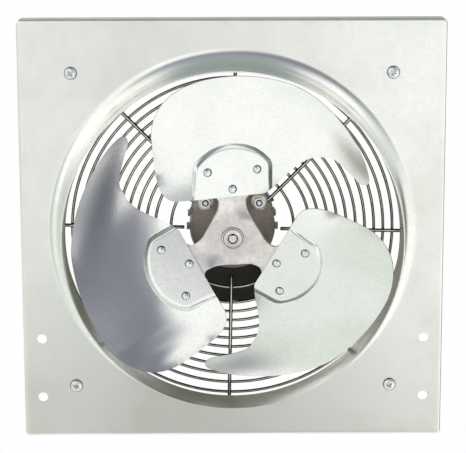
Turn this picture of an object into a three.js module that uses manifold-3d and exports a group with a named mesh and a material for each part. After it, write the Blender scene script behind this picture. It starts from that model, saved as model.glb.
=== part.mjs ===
// Exhaust fan: a three-blade propeller in a spun throat, driven by a small motor
// that hangs on a welded wire guard behind a square sheet-metal panel.
// Millimetres. The fan's axis runs along Y through the origin, which lies on the
// panel's front face. Air leaves towards -Y. X is to the right and Z is up.

import * as THREE from "three";
import { mergeVertices } from "three/addons/utils/BufferGeometryUtils.js";
import Module from "manifold-3d";

const wasm = await Module();
wasm.setup();

// Panel and throat
const panelWidth = 396.8;
const sheetThickness = 1.2;
const flangeDepth = 25;
const flangeBendRadius = 2;
const panelCornerRadius = 4;
const cornerSeamWidth = 1.4;
const throatInset = 41.8;
const throatLength = 57;
const throatFillet = 16;
const throatCollarLap = 5;
const fixingHoleRadius = 4.65;
const fixingHoleSideInset = 17.5;
const fixingHoleLowInset = 38.1;
const fixingHoleHighInset = 95;
const guardScrewInset = 49.4;

// Guard
const armPlaneY = 16.6;
const armWireRadius = 1.7;
const ringWireRadius = 1.4;
const weldBite = 0.4;
const motorRingGap = 17.3;
const firstRingRadius = 73;
const pitchedRingCount = 10;
const outerRingGap = 9.92;
const outerRingOverlap = 4.8;
const spokeInnerGap = 4.5;
const spokeOverhang = 1.6;
const spokeLean = 1.2;
const eyeRadius = 5;
const eyeWrap = 275;
const footRise = 26;

// Motor
const motorRadius = 40.8;
const shieldDepth = 28;
const statorLength = 24;
const shieldThickness = 1.8;
const shieldEdgeRadius = 5;
const bossRadius = 13;
const bossHeight = 6;
const bossLip = 2.5;
const bossLipThickness = 1.5;
const boltEdgeDistance = 5.02;
const boltRadius = 2.4;
const boltStandOut = 1.2;
const statorDepth = 18.3;
const airGap = 0.5;
const slotCount = 6;
const slotInnerInset = 15.3;
const slotOuterInset = 9.3;
const slotWidth = 8;
const endTurnLength = 9;
const endTurnShoulderShare = 0.8;
const windingBarOverhang = 4.5;
const endRingLength = 4.5;
const endRingInset = 3;
const bearingRadius = 9;
const bearingLength = 13;
const ventCount = 6;
const ventWidth = 16;
const ventLength = 4.5;
const lugWidth = 6.2;
const lugHeight = 2.6;
const lugLength = 6;
const lugInset = 1.4;
const lugPairAngle = 20;

// Shaft and hub
const shaftRadius = 3.97;
const shaftFrontY = -37;
const shaftFlatDepth = 0.8;
const hubCollarRadius = 10.4;
const hubCollarHeight = 1.6;
const hubNeckRadius = 8.7;
const hubFlangeRadius = 14;
const hubFlangeHeight = 3;
const hubBarrelRadius = 11;
const hubBarrelLength = 15;
const hubGrooveInner = 8.2;
const hubGrooveOuter = 9;
const hubGrooveDepth = 0.5;
const setScrewRadius = 2.4;
const setScrewSocketRadius = 1.2;
const setScrewSocketDepth = 2.5;
const setScrewStandOff = 0.8;

// Spider
const spiderThickness = 2.6;
const spiderFrontY = -34.6;
const spiderFlatDistance = 24.6;
const armNeckHalfWidth = 12.4;
const armNeckFillet = 24;
const armNeckLength = 8.8;
const armFlareFillet = 5;
const paddleHalfWidth = 27;
const paddleShoulder = 50;
const paddleCornerRadius = 9;
const paddleTop = 78;
const twistStart = 15;
const twistEnd = 34;

// Propeller blades
const bladeCount = 3;
const tipClearance = 4.8;
const bladeThickness = 1.4;
const bladePitch = 24.2;
const bladeFaceY = -33.2;
const cupCentre = 80;
const spanCupRadius = 194;
const tailCurlLength = 290;
const cornerCurlLength = 219;
const seatPitch = 22.9;
const padHalfWidth = 36.5;
const padArcRadius = 44;
const padArcCentre = 44;
const padRampWidth = 5;
const padOuterReachShares = [0, 0.12, 0.28, 0.5, 0.74, 1];
const rivetRadius = 2.4;
const rivetHeadRadius = 4;
const rivetHeadHeight = 2.2;
const rivetTailRadius = 3.6;
const rivetTailHeight = 1.5;
const rivetHeadProfileShares = [0.6, 0.78];
const rivetTailTopShare = 0.7;
const innerRivetPlace = 46.4;
const outerRivetPlace = 63.2;
const outerRivetHalfSpacing = 22.7;
const heelEdgeDistance = 8.15;
const heelRise = 1.96;

// Fasteners
const screwHeadRadius = 6.1;
const screwHeadHeight = 2.6;
const screwHeadProfileShares = [[0.55, 0.14], [0.9, 0.55]];
const screwShankEndY = 11;
const screwRecessWidth = 1.3;
const screwRecessSpan = 5.6;
const screwRecessDepth = 1.6;
const nutAcrossFlats = 9.5;
const nutThickness = 3.7;
const washerRadius = 8;
const washerRimRadius = 4.9;
const washerThickness = 1.1;
const washerHeight = 2.5;
const boltHeadHeight = 4;

// Wiring box
const boxWidth = 70;
const boxOverlap = 6.8;
const boxDrop = 35.8;
const boxFrontY = 42;
const boxDepth = 52;
const boxWall = 2.5;
const boxCornerRadius = 4;
const boxRoofThickness = 3;
const wireHoleRadius = 5;
const wireHoleBackset = 12;
const coverThickness = 2;
const coverScrewRadius = 1.6;
const coverScrewHeadRadius = 3.4;
const coverScrewHeadHeight = 1.8;
const coverScrewHeadTopShare = 0.7;
const coverScrewSlotWidth = 0.8;
const coverScrewLength = 9;
const coverScrewInset = 6;
const coverPostRadius = 4;
const coverPostLength = 12;
const bushingRadius = 7;
const bushingFlangeRadius = 9.5;
const bushingFlangeHeight = 1.6;
const bushingBoreRadius = 4;
const bushingTail = 4;
const bushingTailTaper = 1;
const bushingFlangeTaper = 0.8;

// Fits
const seatGap = 0.3;
const holeGap = 0.4;
const paddleSideGap = 1;
const overrun = 2;
const weldTolerance = 1e-4;
const ringSag = 1.2;
const turnedSides = 16;
const motorSides = 22;
const smallSides = 10;
const holeSides = 8;
const throatSides = 42;
const ringWireSides = 4;
const armWireSides = 5;

// Places worked out from the sizes above
const halfPanel = panelWidth / 2;
const throatRadius = halfPanel - throatInset;
const motorRingRadius = motorRadius + motorRingGap;
const spokeInnerRadius = motorRadius + spokeInnerGap;
const propellerRadius = throatRadius - sheetThickness - tipClearance;
const outerRingRadius = throatRadius + outerRingOverlap;
const ringPitch = (outerRingRadius - outerRingGap - firstRingRadius) / (pitchedRingCount - 1);
const panelBackY = sheetThickness;
const guardScrewPlace = halfPanel - guardScrewInset;
const ringPlaneY = armPlaneY + armWireRadius + seatGap + ringWireRadius;
const spokePlaneY = ringPlaneY - ringWireRadius - armWireRadius + weldBite;
const footPlaneY = panelBackY + seatGap + armWireRadius;
const motorFrontY = armPlaneY + armWireRadius + seatGap * 2 + nutThickness;
const armNutY = armPlaneY - armWireRadius - seatGap * 2 - washerHeight - nutThickness;
const boltFrontY = armNutY - boltStandOut;
const motorRearY = motorFrontY + shieldDepth * 2 + statorLength + seatGap * 2;
const statorFrontY = motorFrontY + shieldDepth + seatGap;
const statorRearY = statorFrontY + statorLength;
const boltCircleRadius = motorRadius - boltEdgeDistance;
const boltHalfSpacing = boltCircleRadius * Math.SQRT1_2;
const statorBoreRadius = motorRadius - statorDepth;
const slotInnerRadius = motorRadius - slotInnerInset;
const slotOuterRadius = motorRadius - slotOuterInset;
const boxTopZ = boxOverlap - motorRadius;
const boxBottomZ = -motorRadius - boxDrop;
const seatSlope = Math.tan(THREE.MathUtils.degToRad(seatPitch));
const pitchSlope = Math.tan(THREE.MathUtils.degToRad(bladePitch));
const bladeSeatY = spiderFrontY - seatGap - bladeThickness;
const hubFrontY = spiderFrontY - seatGap - hubCollarHeight;
const hubFlangeY = spiderFrontY + spiderThickness + seatGap;
const hubRearY = hubFlangeY + hubFlangeHeight + hubBarrelLength;
const hubBoreRadius = shaftRadius + seatGap;
const heelPlace = innerRivetPlace - heelEdgeDistance;
const rivetPlaces = [
  [0, innerRivetPlace],
  [-outerRivetHalfSpacing, outerRivetPlace],
  [outerRivetHalfSpacing, outerRivetPlace],
];

// Helpers that turn three.js geometry into solids and back

function solidOf(geometry) {
  const bare = geometry.clone();
  bare.deleteAttribute("normal");
  bare.deleteAttribute("uv");
  const welded = mergeVertices(bare, weldTolerance);
  const places = welded.attributes.position;
  const corners = welded.index.array;
  const faces = [];
  const a = new THREE.Vector3();
  const b = new THREE.Vector3();
  const c = new THREE.Vector3();
  let volume = 0;
  for (let i = 0; i < corners.length; i += 3) {
    const face = [corners[i], corners[i + 1], corners[i + 2]];
    if (new Set(face).size < 3) continue;
    a.fromBufferAttribute(places, face[0]);
    b.fromBufferAttribute(places, face[1]);
    c.fromBufferAttribute(places, face[2]);
    volume += a.dot(b.cross(c));
    faces.push(face);
  }
  const outward = volume < 0 ? faces.map((face) => face.reverse()) : faces;
  return new wasm.Manifold(new wasm.Mesh({
    numProp: 3,
    vertProperties: new Float32Array(places.array),
    triVerts: new Uint32Array(outward.flat()),
  }));
}

function geometryOf(solid) {
  const mesh = solid.getMesh();
  const geometry = new THREE.BufferGeometry();
  geometry.setAttribute("position", new THREE.BufferAttribute(new Float32Array(mesh.vertProperties), 3));
  geometry.setIndex(new THREE.BufferAttribute(new Uint32Array(mesh.triVerts), 1));
  geometry.computeVertexNormals();
  return geometry;
}

function union(solids) {
  return solids.reduce((whole, solid) => whole.add(solid));
}

function cut(solid, tools) {
  return tools.reduce((rest, tool) => rest.subtract(tool), solid);
}

// A cylinder along the fan's axis, from one Y to another
function rod(radius, startY, endY, sides, x = 0, z = 0) {
  const geometry = new THREE.CylinderGeometry(radius, radius, endY - startY, sides);
  geometry.translate(x, (startY + endY) / 2, z);
  return solidOf(geometry);
}

function block(minX, maxX, minY, maxY, minZ, maxZ) {
  const geometry = new THREE.BoxGeometry(maxX - minX, maxY - minY, maxZ - minZ);
  geometry.translate((minX + maxX) / 2, (minY + maxY) / 2, (minZ + maxZ) / 2);
  return solidOf(geometry);
}

// A profile of [radius, Y] pairs turned about the fan's axis
function turned(profile, sides) {
  const points = profile.map(([radius, y]) => new THREE.Vector2(radius, y));
  const first = points[0];
  const last = points[points.length - 1];
  if (first.x > 0 || last.x > 0) points.push(first.clone());
  return solidOf(new THREE.LatheGeometry(points, sides));
}

// An outline drawn in X and Z, pushed from one Y to another
function plate(shape, startY, endY, curveSegments) {
  const depth = endY - startY;
  const geometry = new THREE.ExtrudeGeometry(shape, { depth, bevelEnabled: false, curveSegments });
  geometry.rotateX(Math.PI / 2);
  geometry.translate(0, endY, 0);
  return solidOf(geometry);
}

function turn(solid, degrees) {
  return solid.rotate([0, degrees, 0]);
}

// Points of a quarter bend, from one angle to another about a centre
function bend(centreRadius, centreY, radius, fromDegrees, toDegrees, steps) {
  return Array.from({ length: steps + 1 }, (_, i) => {
    const angle = THREE.MathUtils.degToRad(fromDegrees + (toDegrees - fromDegrees) * i / steps);
    return [centreRadius + radius * Math.cos(angle), centreY + radius * Math.sin(angle)];
  });
}

// A closed outline through corners of [x, z, rounding radius]
function roundedOutline(corners, steps) {
  const points = [];
  corners.forEach(([x, z, radius], i) => {
    const here = new THREE.Vector2(x, z);
    const before = new THREE.Vector2(...corners.at(i - 1));
    const after = new THREE.Vector2(...corners[(i + 1) % corners.length]);
    if (!radius) {
      points.push(here);
      return;
    }
    const back = before.sub(here).normalize();
    const ahead = after.sub(here).normalize();
    const halfAngle = Math.acos(THREE.MathUtils.clamp(back.dot(ahead), -1, 1)) / 2;
    const reach = radius / Math.tan(halfAngle);
    const middle = back.clone().add(ahead).normalize();
    const centre = here.clone().addScaledVector(middle, radius / Math.sin(halfAngle));
    const start = here.clone().addScaledVector(back, reach).sub(centre);
    const end = here.clone().addScaledVector(ahead, reach).sub(centre);
    const sweep = Math.atan2(start.cross(end), start.dot(end));
    for (let step = 0; step <= steps; step += 1) {
      points.push(start.clone().rotateAround(new THREE.Vector2(), sweep * step / steps).add(centre));
    }
  });
  return new THREE.Shape(points);
}

// A closed sheet over a grid of front-face points; its back face lies behind by the depth.
// With a seam, the points of the first level meet each other and need no edge wall there.
function sheetSolid(rows, depth, seamAtFirstLevel) {
  const levels = rows[0].length;
  const count = rows.length * levels;
  const places = [];
  for (const offset of [0, depth]) {
    for (const row of rows) {
      for (const point of row) places.push(point.x, point.y + offset, point.z);
    }
  }
  const faces = [];
  const quad = (a, b, c, d) => faces.push(a, b, c, a, c, d);
  const at = (row, level) => row * levels + level;
  for (let row = 0; row + 1 < rows.length; row += 1) {
    for (let level = 0; level + 1 < levels; level += 1) {
      const ring = [at(row, level), at(row + 1, level), at(row + 1, level + 1), at(row, level + 1)];
      quad(...ring);
      quad(...ring.map((corner) => corner + count).reverse());
    }
    const outer = levels - 1;
    quad(at(row, outer), at(row + 1, outer), at(row + 1, outer) + count, at(row, outer) + count);
    if (!seamAtFirstLevel) quad(at(row + 1, 0), at(row, 0), at(row, 0) + count, at(row + 1, 0) + count);
  }
  const lastRow = rows.length - 1;
  for (let level = 0; level + 1 < levels; level += 1) {
    quad(at(0, level), at(0, level + 1), at(0, level + 1) + count, at(0, level) + count);
    quad(at(lastRow, level + 1), at(lastRow, level), at(lastRow, level) + count, at(lastRow, level + 1) + count);
  }
  const geometry = new THREE.BufferGeometry();
  geometry.setAttribute("position", new THREE.Float32BufferAttribute(places, 3));
  geometry.setIndex(faces);
  return solidOf(geometry);
}

// Finishes
const finishes = {
  galvanised: { color: 0xd3d5cf, roughness: 0.45, metalness: 0.7 },
  blackOxide: { color: 0x4b4a42, roughness: 0.5, metalness: 0.8 },
  zinc: { color: 0xc9ced4, roughness: 0.3, metalness: 0.9 },
  bladePaint: { color: 0xe2e6e4, roughness: 0.4, metalness: 0.4 },
  satinSteel: { color: 0xcdc8c3, roughness: 0.35, metalness: 0.8 },
  motorPaint: { color: 0x6f665d, roughness: 0.5, metalness: 0.3 },
  laminations: { color: 0x54504c, roughness: 0.6, metalness: 0.6 },
  enamelWire: { color: 0x8a4a22, roughness: 0.4, metalness: 0.6 },
  bronze: { color: 0x9a7440, roughness: 0.5, metalness: 0.8 },
  shaftSteel: { color: 0xb9babb, roughness: 0.25, metalness: 0.95 },
  blackPlastic: { color: 0x1b1919, roughness: 0.6, metalness: 0 },
};

const fan = new THREE.Group();

function addPiece(parent, name, solid, finish) {
  const mesh = new THREE.Mesh(geometryOf(solid), new THREE.MeshStandardMaterial(finishes[finish]));
  mesh.name = name;
  parent.add(mesh);
  return mesh;
}

// Panel: a shallow pan with a spun throat standing out of its front face

function panBody(inset) {
  const half = halfPanel - flangeBendRadius;
  const corner = Math.max(panelCornerRadius - flangeBendRadius, seatGap);
  const outline = roundedOutline([[-half, -half, corner], [half, -half, corner],
    [half, half, corner], [-half, half, corner]], 1);
  const geometry = new THREE.ExtrudeGeometry(outline, {
    depth: flangeDepth,
    bevelEnabled: true,
    bevelThickness: flangeBendRadius - inset,
    bevelSize: flangeBendRadius - inset,
    bevelSegments: 3,
  });
  geometry.rotateX(-Math.PI / 2);
  geometry.translate(0, flangeBendRadius, 0);
  return solidOf(geometry);
}

function throatCollar() {
  const centreRadius = throatRadius + throatFillet;
  const innerRadius = throatRadius - sheetThickness;
  const profile = [
    [centreRadius + throatCollarLap, 0],
    ...bend(centreRadius, -throatFillet, throatFillet, 90, 180, 3),
    [throatRadius, -throatLength],
    [innerRadius, -throatLength],
    ...bend(centreRadius, -throatFillet, throatFillet + sheetThickness, 180, 90, 3),
    [centreRadius + throatCollarLap, sheetThickness],
  ];
  return turned(profile, throatSides);
}

function panelHoles() {
  const tools = [];
  for (const side of [-1, 1]) {
    for (const inset of [fixingHoleLowInset, fixingHoleHighInset]) {
      tools.push(rod(fixingHoleRadius, -overrun, panelBackY + overrun, holeSides,
        side * (halfPanel - fixingHoleSideInset), inset - halfPanel));
    }
    for (const height of [-1, 1]) {
      tools.push(rod(boltRadius + holeGap, -overrun, panelBackY + overrun, holeSides,
        side * guardScrewPlace, height * guardScrewPlace));
    }
  }
  return tools;
}

function cornerSeams() {
  const reach = halfPanel * Math.SQRT2;
  const depthOfCut = panelCornerRadius + sheetThickness + overrun;
  const seam = block(-cornerSeamWidth / 2, cornerSeamWidth / 2, flangeBendRadius, flangeDepth + overrun,
    reach - depthOfCut, reach + overrun);
  return [45, 135, 225, 315].map((degrees) => turn(seam, degrees));
}

function mountingPanel() {
  const trim = block(-panelWidth, panelWidth, flangeDepth, panelWidth, -panelWidth, panelWidth);
  const pan = cut(panBody(0), [panBody(sheetThickness), trim]);
  const openingRadius = throatRadius + throatFillet + throatCollarLap / 2;
  const opening = rod(openingRadius, -overrun, panelBackY + overrun, throatSides);
  return cut(pan.subtract(opening).add(throatCollar()), [...panelHoles(), ...cornerSeams()]);
}

addPiece(fan, "mounting_panel", mountingPanel(), "galvanised");

// Guard: wire rings welded behind four straight spokes. Four long arms lie against them,
// with an eye at both ends, and carry the guard and the motor from the panel's screws.

function wireRing(radius) {
  const segments = Math.ceil(Math.PI / Math.acos(1 - ringSag / radius));
  const geometry = new THREE.TorusGeometry(radius, ringWireRadius, ringWireSides, segments);
  geometry.rotateX(Math.PI / 2);
  geometry.translate(0, ringPlaneY, 0);
  return solidOf(geometry);
}

function straightSpoke(degrees) {
  const outer = outerRingRadius + ringWireRadius + spokeOverhang;
  const length = outer - spokeInnerRadius;
  const geometry = new THREE.CylinderGeometry(armWireRadius, armWireRadius, length, armWireSides);
  geometry.rotateZ(-Math.PI / 2);
  geometry.translate(spokeInnerRadius + length / 2, spokePlaneY, 0);
  return turn(solidOf(geometry), degrees + spokeLean);
}

// The centre line of one arm: an eye, a straight run beside the line between the two
// screws, a rise to the panel, and the second eye. It is drawn along +X.
class ArmLine extends THREE.Curve {
  constructor(innerPlace, outerPlace) {
    super();
    this.stations = [];
    const eye = (centre, y, firstAngle, lastAngle) => {
      const steps = 6;
      for (let i = 0; i <= steps; i += 1) {
        const angle = THREE.MathUtils.degToRad(firstAngle + (lastAngle - firstAngle) * i / steps);
        this.stations.push(new THREE.Vector3(
          centre + eyeRadius * Math.cos(angle), y, eyeRadius * Math.sin(angle)));
      }
    };
    eye(innerPlace, armPlaneY, -90 - eyeWrap, -90);
    const riseEnd = outerPlace - eyeRadius * 2;
    const riseSteps = 3;
    for (let i = 0; i <= riseSteps; i += 1) {
      const share = i / riseSteps;
      const blend = THREE.MathUtils.smoothstep(share, 0, 1);
      this.stations.push(new THREE.Vector3(
        riseEnd - footRise * (1 - share), THREE.MathUtils.lerp(armPlaneY, footPlaneY, blend), -eyeRadius));
    }
    eye(outerPlace, footPlaneY, -90, -90 + eyeWrap);
  }

  get steps() {
    return this.stations.length - 1;
  }

  getPoint(t) {
    const place = t * this.steps;
    const index = Math.min(Math.floor(place), this.steps - 1);
    return this.stations[index].clone().lerp(this.stations[index + 1], place - index);
  }

  getTangent(t) {
    const index = Math.round(t * this.steps);
    const before = this.stations[Math.max(index - 1, 0)];
    const after = this.stations[Math.min(index + 1, this.steps)];
    return after.clone().sub(before).normalize();
  }

  getPointAt(u) {
    return this.getPoint(u);
  }

  getTangentAt(u) {
    return this.getTangent(u);
  }
}

function guardArm() {
  const line = new ArmLine(boltCircleRadius, guardScrewPlace * Math.SQRT2);
  const section = new THREE.Shape(Array.from({ length: armWireSides }, (_, i) =>
    new THREE.Vector2(armWireRadius, 0).rotateAround(new THREE.Vector2(), Math.PI * 2 * i / armWireSides)));
  const geometry = new THREE.ExtrudeGeometry(section, {
    steps: line.steps, extrudePath: line,
  });
  return solidOf(geometry);
}

function wireGuard() {
  const radii = [motorRingRadius, outerRingRadius];
  for (let i = 0; i < pitchedRingCount; i += 1) radii.push(firstRingRadius + ringPitch * i);
  const spokes = [0, 90, 180, 270].map(straightSpoke);
  return union([...radii.map(wireRing), ...spokes]);
}

const arm = guardArm();
addPiece(fan, "wire_guard", wireGuard(), "blackOxide");
[45, 135, 225, 315].forEach((degrees, i) => {
  addPiece(fan, `guard_arm_${i + 1}`, turn(arm, degrees), "blackOxide");
});

// Screws and nuts that clamp the arms' feet to the panel

function hexNut(startY) {
  const cornerRadius = nutAcrossFlats / Math.sqrt(3);
  const endY = startY + nutThickness;
  const prism = rod(cornerRadius, startY, endY, 6);
  return prism.subtract(rod(boltRadius + seatGap, startY - overrun, endY + overrun, holeSides));
}

function crossRecess(openY, depth, span, width) {
  const half = span / 2;
  const slot = block(-half, half, openY - overrun, openY + depth, -width / 2, width / 2);
  return slot.add(turn(slot, 90));
}

function panelScrew() {
  const seatY = -seatGap;
  const topY = seatY - screwHeadHeight;
  const dome = screwHeadProfileShares.map(([across, down]) =>
    [screwHeadRadius * across, topY + screwHeadHeight * down]);
  const head = turned([
    [0, topY], ...dome, [screwHeadRadius, seatY], [boltRadius, seatY],
    [boltRadius, screwShankEndY], [0, screwShankEndY],
  ], smallSides);
  return head.subtract(crossRecess(topY, screwRecessDepth, screwRecessSpan, screwRecessWidth));
}

const screw = panelScrew();
const footNut = hexNut(footPlaneY + armWireRadius + seatGap);
let screwNumber = 0;
for (const x of [-guardScrewPlace, guardScrewPlace]) {
  for (const z of [-guardScrewPlace, guardScrewPlace]) {
    screwNumber += 1;
    addPiece(fan, `panel_screw_${screwNumber}`, screw.translate([x, 0, z]), "zinc");
    addPiece(fan, `panel_nut_${screwNumber}`, footNut.translate([x, 0, z]), "zinc");
  }
}

// Motor: two drawn end shields over a laminated stator, clamped by four long bolts, with
// a cup for the bearing in the middle of each shield

function shieldCup() {
  const faceY = motorFrontY;
  const mouthRadius = bossRadius + seatGap;
  const edgeCentre = motorRadius - shieldEdgeRadius;
  const innerEdge = shieldEdgeRadius - shieldThickness;
  return turned([
    [mouthRadius, faceY],
    ...bend(edgeCentre, faceY + shieldEdgeRadius, shieldEdgeRadius, 270, 360, 2),
    [motorRadius, faceY + shieldDepth], [motorRadius - shieldThickness, faceY + shieldDepth],
    ...bend(edgeCentre, faceY + shieldEdgeRadius, innerEdge, 360, 270, 1),
    [mouthRadius, faceY + shieldThickness],
  ], motorSides);
}

// A deep cup that holds the bearing. It stands out of the shield's mouth, and its lip
// lies behind the shield's face.
function bearingCup(shaftHoleRadius) {
  const bossY = motorFrontY - bossHeight;
  const floorY = bossY + shieldThickness;
  const lipY = motorFrontY + shieldThickness + seatGap;
  const lipRadius = bossRadius + bossLip;
  const seatRadius = bearingRadius + seatGap;
  const seatEndY = floorY + seatGap + bearingLength;
  return turned([
    [shaftHoleRadius, bossY], [bossRadius, bossY], [bossRadius, lipY], [lipRadius, lipY],
    [lipRadius, lipY + bossLipThickness], [bossRadius, lipY + bossLipThickness],
    [bossRadius, seatEndY], [seatRadius, seatEndY], [seatRadius, floorY], [shaftHoleRadius, floorY],
  ], turnedSides);
}

function boltPlaces() {
  return [[-1, -1], [-1, 1], [1, -1], [1, 1]].map(([x, z]) => [x * boltHalfSpacing, z * boltHalfSpacing]);
}

function shieldVents() {
  const startY = motorFrontY + (shieldDepth - ventLength) / 2;
  const slot = block(motorRadius - shieldThickness - overrun, motorRadius + overrun,
    startY, startY + ventLength, -ventWidth / 2, ventWidth / 2);
  return Array.from({ length: ventCount }, (_, i) => turn(slot, (i + 0.5) * 360 / ventCount));
}

// Four small bosses stand out of the shield's side, two on the left and two on the right
function shieldLugs() {
  const startY = motorFrontY + shieldEdgeRadius - lugInset;
  const lug = block(motorRadius - shieldThickness / 2, motorRadius + lugHeight,
    startY, startY + lugLength, -lugWidth / 2, lugWidth / 2);
  return [0, -lugPairAngle, 180, 180 + lugPairAngle].map((degrees) => turn(lug, degrees));
}

function endShield() {
  const boltHoles = boltPlaces().map(([x, z]) =>
    rod(boltRadius + holeGap, motorFrontY - overrun, motorFrontY + shieldEdgeRadius, smallSides, x, z));
  const body = union([shieldCup(), ...shieldLugs()]);
  return cut(body, [...boltHoles, ...shieldVents()]);
}

const frontShield = endShield();
const wireHoleY = motorRearY - wireHoleBackset;
const wireHole = solidOf(new THREE.CylinderGeometry(wireHoleRadius, wireHoleRadius,
  motorRadius - boxBottomZ, smallSides).rotateX(Math.PI / 2)
  .translate(0, wireHoleY, boxBottomZ / 2 + boxTopZ / 2));
const rearShield = endShield().mirror([0, 1, 0]).translate([0, motorFrontY + motorRearY, 0]);
const frontCup = bearingCup(shaftRadius + holeGap);
const rearCup = bearingCup(0).mirror([0, 1, 0]).translate([0, motorFrontY + motorRearY, 0]);
const wirePassage = wireHole.intersect(block(-boxWidth, boxWidth, motorFrontY, motorRearY,
  boxTopZ - (motorRadius + boxTopZ) - boxRoofThickness - overrun, boxTopZ));
addPiece(fan, "motor_front_shield", frontShield, "motorPaint");
addPiece(fan, "motor_rear_shield", rearShield.subtract(wirePassage), "motorPaint");
addPiece(fan, "front_bearing_cup", frontCup, "motorPaint");
addPiece(fan, "rear_bearing_cup", rearCup, "motorPaint");

function slotTool(startY, endY, gap) {
  return block(slotInnerRadius - gap, slotOuterRadius + gap, startY, endY,
    -slotWidth / 2 - gap, slotWidth / 2 + gap);
}

function statorCore() {
  const ring = turned([
    [statorBoreRadius, statorFrontY], [motorRadius, statorFrontY],
    [motorRadius, statorRearY], [statorBoreRadius, statorRearY],
  ], motorSides);
  const slot = slotTool(statorFrontY - overrun, statorRearY + overrun, 0);
  const slots = Array.from({ length: slotCount }, (_, i) => turn(slot, (i + 0.5) * 360 / slotCount));
  const holes = boltPlaces().map(([x, z]) =>
    rod(boltRadius + holeGap, statorFrontY - overrun, statorRearY + overrun, smallSides, x, z));
  return cut(ring, [...slots, ...holes]);
}

function statorWinding() {
  const bar = slotTool(statorFrontY - windingBarOverhang, statorRearY + windingBarOverhang, -seatGap);
  const bars = Array.from({ length: slotCount }, (_, i) => turn(bar, (i + 0.5) * 360 / slotCount));
  const inner = slotInnerRadius + seatGap;
  const outer = slotOuterRadius - seatGap;
  const endTurns = (nearY, farY) => {
    const shoulderY = THREE.MathUtils.lerp(nearY, farY, endTurnShoulderShare);
    return turned([
      [inner, nearY], [outer, nearY], [outer, shoulderY],
      [(inner + outer) / 2, farY], [inner, shoulderY],
    ], smallSides + 2);
  };
  return union([
    ...bars,
    endTurns(statorFrontY - seatGap, statorFrontY - endTurnLength),
    endTurns(statorRearY + seatGap, statorRearY + endTurnLength),
  ]);
}

addPiece(fan, "stator_core", statorCore(), "laminations");
addPiece(fan, "stator_winding", statorWinding(), "enamelWire");

function bearing() {
  const startY = motorFrontY - bossHeight + shieldThickness + seatGap;
  return turned([
    [shaftRadius + seatGap, startY], [bearingRadius, startY],
    [bearingRadius, startY + bearingLength], [shaftRadius + seatGap, startY + bearingLength],
  ], smallSides + 2);
}

addPiece(fan, "front_bearing", bearing(), "bronze");
const rearBearing = bearing().mirror([0, 1, 0]).translate([0, motorFrontY + motorRearY, 0]);
addPiece(fan, "rear_bearing", rearBearing, "bronze");

// Long motor bolts with their inner nuts, cup washers and outer nuts

function motorBolt() {
  const headY = motorRearY + seatGap;
  const head = rod(nutAcrossFlats / Math.sqrt(3), headY, headY + boltHeadHeight, 6);
  return head.add(rod(boltRadius, boltFrontY, headY + boltHeadHeight / 2, smallSides));
}

function cupWasher() {
  const rearY = armPlaneY - armWireRadius - seatGap;
  const frontY = rearY - washerHeight;
  const bore = boltRadius + holeGap;
  return turned([
    [bore, frontY], [washerRimRadius, frontY], [washerRadius, rearY - washerThickness],
    [washerRadius, rearY], [washerRimRadius, frontY + washerThickness], [bore, frontY + washerThickness],
  ], smallSides);
}

const bolt = motorBolt();
const washer = cupWasher();
const innerNut = hexNut(motorFrontY - seatGap - nutThickness);
const outerNut = hexNut(armNutY);
boltPlaces().forEach(([x, z], i) => {
  addPiece(fan, `motor_bolt_${i + 1}`, bolt.translate([x, 0, z]), "zinc");
  addPiece(fan, `motor_nut_${i + 1}`, innerNut.translate([x, 0, z]), "zinc");
  addPiece(fan, `cup_washer_${i + 1}`, washer.translate([x, 0, z]), "zinc");
  addPiece(fan, `arm_nut_${i + 1}`, outerNut.translate([x, 0, z]), "zinc");
});

// Wiring box under the motor, with its cover on the back

function boxOutline(inset, topZ) {
  const half = boxWidth / 2 - inset;
  const corner = Math.max(boxCornerRadius - inset, seatGap);
  const bottom = boxBottomZ + inset;
  return roundedOutline([[-half, bottom, corner], [half, bottom, corner],
    [half, topZ, corner], [-half, topZ, corner]], 3);
}

function coverScrewPlaces() {
  const across = boxWidth / 2 - coverScrewInset;
  return [-across, across].map((x) => [x, boxBottomZ + coverScrewInset]);
}

function wiringBox() {
  const backY = boxFrontY + boxDepth;
  const cavityTop = -motorRadius - seatGap - boxRoofThickness;
  const shell = plate(boxOutline(0, boxTopZ), boxFrontY, backY);
  const cavity = plate(boxOutline(boxWall, cavityTop), boxFrontY + boxWall, backY + overrun);
  const saddle = rod(motorRadius + seatGap * 2, boxFrontY - overrun, backY + overrun, motorSides);
  const posts = coverScrewPlaces().map(([x, z]) =>
    rod(coverPostRadius, backY - coverPostLength, backY, smallSides, x, z));
  const corners = plate(boxOutline(0, boxTopZ), boxFrontY, backY);
  const holes = coverScrewPlaces().map(([x, z]) =>
    rod(coverScrewRadius + seatGap, backY - coverScrewLength - overrun, backY + overrun, smallSides, x, z));
  const body = union([shell.subtract(cavity), ...posts.map((post) => post.intersect(corners))]);
  return cut(body, [saddle, wirePassage, ...holes]);
}

function boxCover() {
  const startY = boxFrontY + boxDepth + seatGap;
  const endY = startY + coverThickness;
  const saddle = rod(motorRadius + seatGap * 2, startY - overrun, endY + overrun, motorSides);
  const holes = coverScrewPlaces().map(([x, z]) =>
    rod(coverScrewRadius + seatGap, startY - overrun, endY + overrun, smallSides, x, z));
  const outlet = rod(bushingRadius + seatGap, startY - overrun, endY + overrun, smallSides + 2, 0, bushingZ);
  return cut(plate(boxOutline(0, boxTopZ), startY, endY), [saddle, outlet, ...holes]);
}

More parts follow.
